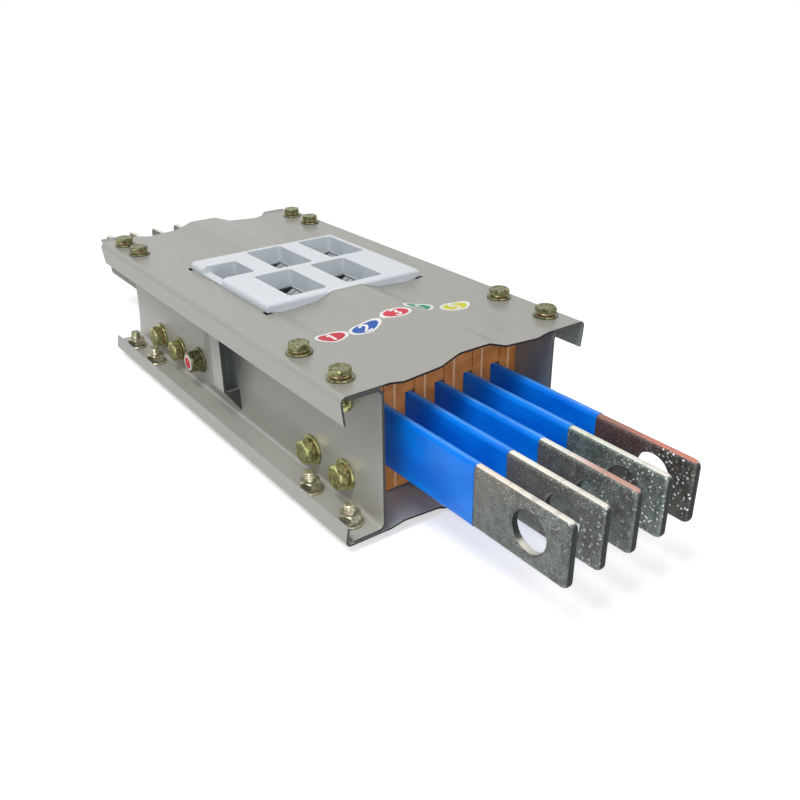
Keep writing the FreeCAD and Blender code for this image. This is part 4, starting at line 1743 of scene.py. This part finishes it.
@dataclass
class Housing:
    """The covers and side panels."""

    sheet_edge: float = 0.25
    # Spots of painted shadow where the cover's corner relief holes are.
    relief_spots: tuple[Point, ...] = ((-74.5, -64.0, ROOF), (52.0, 66.0, ROOF))
    marks: tuple[Mark, ...] = (Mark(centre=(167.4, 42.0, 102.3), length=3.2, width=0.45),)
    panel_sheen: float = 0.36

    def _panel_paint(self, side: Side) -> SheetPaint:
        """Mixes a side panel's paint, paler round its lower bolts, with painted shade and sheen by
        height.

        Args:
            side: The panel's side.

        Returns:
            The paint.
        """
        y = side.value * WEB_LINE
        rings = tuple((x, y, SIDE_BOLT_HEIGHTS[0]) for x in (*SIDE_BOLT_PLACES, EARTH_PLACE[0]))
        return SheetPaint(f"panel_paint_{side.word}", rise=0.0, sheen=self.panel_sheen, rings=rings)

    def build(self, nodes: Nodes) -> None:
        """Dresses the four sheets.

        Args:
            nodes: The CAD nodes by name.
        """
        top = SheetPaint("cover_paint_top", reliefs=self.relief_spots, marks=self.marks)
        dress(nodes["top_cover"], top, self.sheet_edge)
        dress(nodes["bottom_cover"], SheetPaint("cover_paint_bottom"), self.sheet_edge)
        for side in Side:
            dress(nodes[f"side_panel_{side.word}"], self._panel_paint(side), self.sheet_edge)


@dataclass(frozen=True)
class JawLeaves:
    """The sprung leaves on a contact jaw, which show in the socket's blade slot."""

    number: int
    line: float
    start: float
    end: float
    foot: float = 93.4
    shoulder: float = 95.4
    tip: float = 97.7
    sheet: float = 0.5
    fingers: int = 3
    slit: float = 0.9
    leaves: tuple[Span, ...] = ((-4.7, -5.3), (4.7, 9.6))
    metal: SpringMetal = SpringMetal("spring_sheet")

    def _outline(self, root: float, reach: float) -> list[Span]:
        """Works out the section of a leaf.

        Args:
            root: Its distance from the bar's line where it rises.
            reach: Its distance from that line at its tip.

        Returns:
            The points as y and z, with y from the bar's line.
        """
        step = math.copysign(self.sheet, root)
        return [
            (root, self.foot),
            (root + step, self.foot),
            (root + step, self.shoulder - self.sheet),
            (reach, self.tip - self.sheet),
            (reach, self.tip),
            (root, self.shoulder),
        ]

    def build(self) -> None:
        """Builds the fingers of both leaves."""
        form = Form()
        length = (self.end - self.start + self.slit) / self.fingers
        for index in range(self.fingers):
            low = self.start + index * length
            for root, reach in self.leaves:
                section = self._outline(root, reach)
                ends = (low, low + length - self.slit)
                form.add_rings([cross_section(x, self.line, section) for x in ends])
        form.build(f"jaw_leaves_{self.number}", self.metal)


@dataclass(frozen=True)
class ScoopRecess:
    """The rounded recess behind a scoop's mouth, which hides the inside of the housing."""

    side: Side
    edge: float = 3.4
    length: float = 46.0
    half_height: float = 39.5
    face: float = 68.8
    depth: float = 4.0
    steepness: float = 1.6
    columns: int = 24
    rows: int = 32
    # Far paler than the panel paint: painted light in the shaded mouth of the scoop.
    tone: Colour = srgb(232, 238, 240)

    def _point(self, along: float, up: float) -> Vector:
        """Works out a point of the recess.

        Args:
            along: Its share of the length, from the mouth.
            up: Its share of the half height, from the middle.

        Returns:
            The point.
        """
        fall = math.sin(min(1.0, along * self.steepness) * math.pi / 2) * (1.0 - abs(up) ** 4)
        x = self.edge - self.length * along
        y = self.side.value * (self.face - self.depth * fall)
        return Vector((x, y, MIDDLE + self.half_height * up))

    def build(self) -> None:
        """Builds the recess."""
        # Every part of the recess takes the lightened tone, painted light in the mouth.
        tone = self.tone
        finish = SheetPaint("recess_paint", tone=tone, lining=tone, edge=tone, far_edge=tone)
        form = Form()
        rings = []
        for column in range(self.columns + 1):
            share = column / self.columns
            rings.append([self._point(share, 2 * row / self.rows - 1) for row in range(self.rows + 1)])
        form.add_rings(rings, open_band=True)
        form.build(f"scoop_recess_{self.side.word}", finish)


@dataclass
class Interior:
    """The spacer blocks, the socket, its contact jaws and the recesses of the scoops."""

    spacers: int = 6
    spacer_edge: float = 0.4
    socket_edge: float = 0.6
    socket_facets: int = 3
    jaw_edge: float = 0.15
    resin: SpacerResin = SpacerResin("brown_resin")
    plastic: WhiteMoulding = WhiteMoulding("bluish_plastic")
    metal: SpringMetal = SpringMetal("spring_sheet")

    def build(self, nodes: Nodes) -> None:
        """Dresses the moulded and sprung pieces.

        Args:
            nodes: The CAD nodes by name.
        """
        for end in End:
            for number in range(1, self.spacers + 1):
                dress(nodes[f"spacer_{end.word}_{number}"], self.resin, self.spacer_edge)
        dress(nodes["plug_socket"], self.plastic, self.socket_edge, self.socket_facets)
        for number, (line, jaw) in enumerate(zip(BAR_LINES, JAW_PLACES), 1):
            dress(nodes[f"contact_jaw_{number}"], self.metal, self.jaw_edge)
            JawLeaves(number, line, *jaw).build()
        for side in Side:
            ScoopRecess(side).build()


@dataclass
class Labels:
    """The five phase labels on the top cover."""

    labels: tuple[PhaseLabel, ...] = (
        PhaseLabel(1, srgb(186, 20, 44), (110.7, -51.5)),
        PhaseLabel(2, srgb(14, 80, 164), (113.5, -27.5)),
        PhaseLabel(3, srgb(200, 28, 56), (113.0, -2.4)),
        PhaseLabel(4, srgb(18, 132, 98), (105.5, 22.4)),
        PhaseLabel(5, srgb(198, 196, 30), (114.7, 47.3)),
    )

    def build(self, nodes: Nodes) -> None:
        """Builds the labels in order.

        Args:
            nodes: The CAD nodes by name.
        """
        surface = CoverSurface(nodes["top_cover"])
        for label in self.labels:
            label.build(surface)


@dataclass(frozen=True)
class Viewpoint:
    """The photograph's camera, from its turn about the section and its fitted distance in millimetres."""

    azimuth: float = 53.62
    elevation: float = 26.47
    roll: float = -0.36
    lens: float = 38.385
    sensor: float = 36.0
    distance: float = 695.76
    right_offset: float = -67.56
    up_offset: float = 4.848

    def matrix(self) -> Matrix:
        """Works out the camera's place.

        Returns:
            Its matrix, in metres.
        """
        turn, tilt, roll = (math.radians(a) for a in (self.azimuth, self.elevation, self.roll))
        back = Vector((math.sin(turn) * math.cos(tilt), -math.cos(turn) * math.cos(tilt), math.sin(tilt)))
        level = Vector((math.cos(turn), math.sin(turn), 0.0))
        upright = back.cross(level)
        right = level * math.cos(roll) + upright * math.sin(roll)
        up = upright * math.cos(roll) - level * math.sin(roll)
        centre = back * self.distance - right * self.right_offset - up * self.up_offset
        centre = (centre + Vector((0.0, 0.0, LIFT))) * MM
        turned = Matrix((right, up, back)).transposed().to_4x4()
        return Matrix.Translation(centre) @ turned

    def build(self) -> None:
        """Adds the camera."""
        data = bpy.data.cameras.new("photo_camera")
        data.lens = self.lens
        data.sensor_width = self.sensor
        data.clip_start = 0.01
        data.clip_end = 60.0
        camera = add_object("photo_camera", data)
        camera.matrix_world = self.matrix()
        bpy.context.scene.camera = camera
        LOG.info("camera with a lens of %.1f mm", self.lens)


@dataclass(frozen=True)
class SoftLamp:
    """A square area lamp that looks at the section, with its sizes in metres."""

    name: str
    place: Point
    size: float
    power: float
    target: Point = (0.0, 0.0, 0.05)

    def build(self) -> None:
        """Adds the lamp."""
        data = bpy.data.lights.new(self.name, "AREA")
        data.shape = "SQUARE"
        data.size = self.size
        data.energy = self.power
        lamp = add_object(self.name, data)
        lamp.location = self.place
        aim = Vector(self.target) - Vector(self.place)
        lamp.rotation_euler = aim.to_track_quat("-Z", "Y").to_euler()
        LOG.info("%s lamp of %.1f W", self.name, self.power)


@dataclass(frozen=True)
class Studio:
    """The floor, backdrop and lamps, with sizes in metres."""

    ambient: float = 0.37
    floor_half: float = 3.0
    floor_drop: float = 0.0002
    floor_roughness: float = 0.9
    floor_shine: float = 0.1
    floor_tone: Colour = (0.86, 0.86, 0.86)
    floor_lift: float = 0.46
    fade: Span = (0.42, 0.88)
    lamps: tuple[SoftLamp, ...] = (
        SoftLamp("key", (0.3, -0.65, 1.4), 0.7, 14.5),
        SoftLamp("back", (-1.1, 0.15, 1.05), 1.3, 0.8),
        SoftLamp("fill", (1.35, -0.2, 0.45), 0.9, 6.0),
    )

    @staticmethod
    def _seen(graph: Graph) -> Signal:
        """Tells the rays that see the surroundings from those that are lit by them.

        Args:
            graph: The node tree of the floor or the backdrop.

        Returns:
            A value of 1 for rays that see them, straight or in a reflection, and 0 for the others.
        """
        straight = graph.node("ShaderNodeLightPath", {}, {}, "Is Camera Ray")
        outputs = straight.socket.node.outputs
        mirrored = Signal(graph, outputs["Is Glossy Ray"])
        refracted = Signal(graph, outputs["Is Transmission Ray"])
        return (straight + mirrored + refracted).step(0.0, 1.0)

    def _add_floor(self) -> None:
        """Adds the pale floor, which fades into the backdrop."""
        half = self.floor_half
        mesh = bpy.data.meshes.new("floor")
        signs = ((-1, -1), (1, -1), (1, 1), (-1, 1))
        corners = [(x * half, y * half, -self.floor_drop) for x, y in signs]
        mesh.from_pydata(corners, [], [(0, 1, 2, 3)])
        material = bpy.data.materials.new("pale_floor")
        material.use_nodes = True
        graph = Graph(material.node_tree)
        seen = self._seen(graph)
        values = {
            "Base Color": self.floor_tone,
            "Roughness": self.floor_roughness,
            "Specular IOR Level": self.floor_shine,
            "Emission Color": seen * (1.0, 1.0, 1.0),
            "Emission Strength": self.floor_lift,
        }
        near = graph.node("ShaderNodeBsdfPrincipled", {}, values)
        far = graph.node("ShaderNodeBsdfTransparent")
        share = graph.distance(graph.place() * MM, (0.0, 0.0, 0.0)).step(*self.fade)
        mixed = graph.node("ShaderNodeMixShader", {}, {0: share, 1: near, 2: far})
        graph.node("ShaderNodeOutputMaterial", {}, {"Surface": mixed}, None)
        mesh.materials.append(material)
        floor = add_object("floor", mesh)
        LOG.info("floor of %.0f m", 2 * half)

    def _add_backdrop(self) -> None:
        """Adds the surroundings, white to the camera and dimmer as light."""
        world = bpy.data.worlds.new("surroundings")
        world.use_nodes = True
        graph = Graph(world.node_tree)
        strength = self._seen(graph) * (1.0 - self.ambient) + self.ambient
        light = graph.node("ShaderNodeBackground", {}, {"Color": (1.0, 1.0, 1.0), "Strength": strength})
        graph.node("ShaderNodeOutputWorld", {}, {"Surface": light}, None)
        bpy.context.scene.world = world
        LOG.info("backdrop at %.2f of its light", self.ambient)

    def build(self) -> None:
        """Builds the studio."""
        self._add_floor()
        self._add_backdrop()
        for lamp in self.lamps:
            lamp.build()
        bpy.context.scene.view_settings.view_transform = "Standard"


def main() -> None:
    """Builds the scene in order."""
    logging.basicConfig(level=logging.INFO, format="%(message)s")
    for item in list(bpy.data.objects):
        bpy.data.objects.remove(item)
    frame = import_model()
    nodes = frame["nodes"]
    Housing().build(nodes)
    BarPack().build(nodes)
    Interior().build(nodes)
    Fasteners().build(nodes)
    Labels().build(nodes)
    Studio().build()
    Viewpoint().build()


if __name__ == "__main__":
    main()
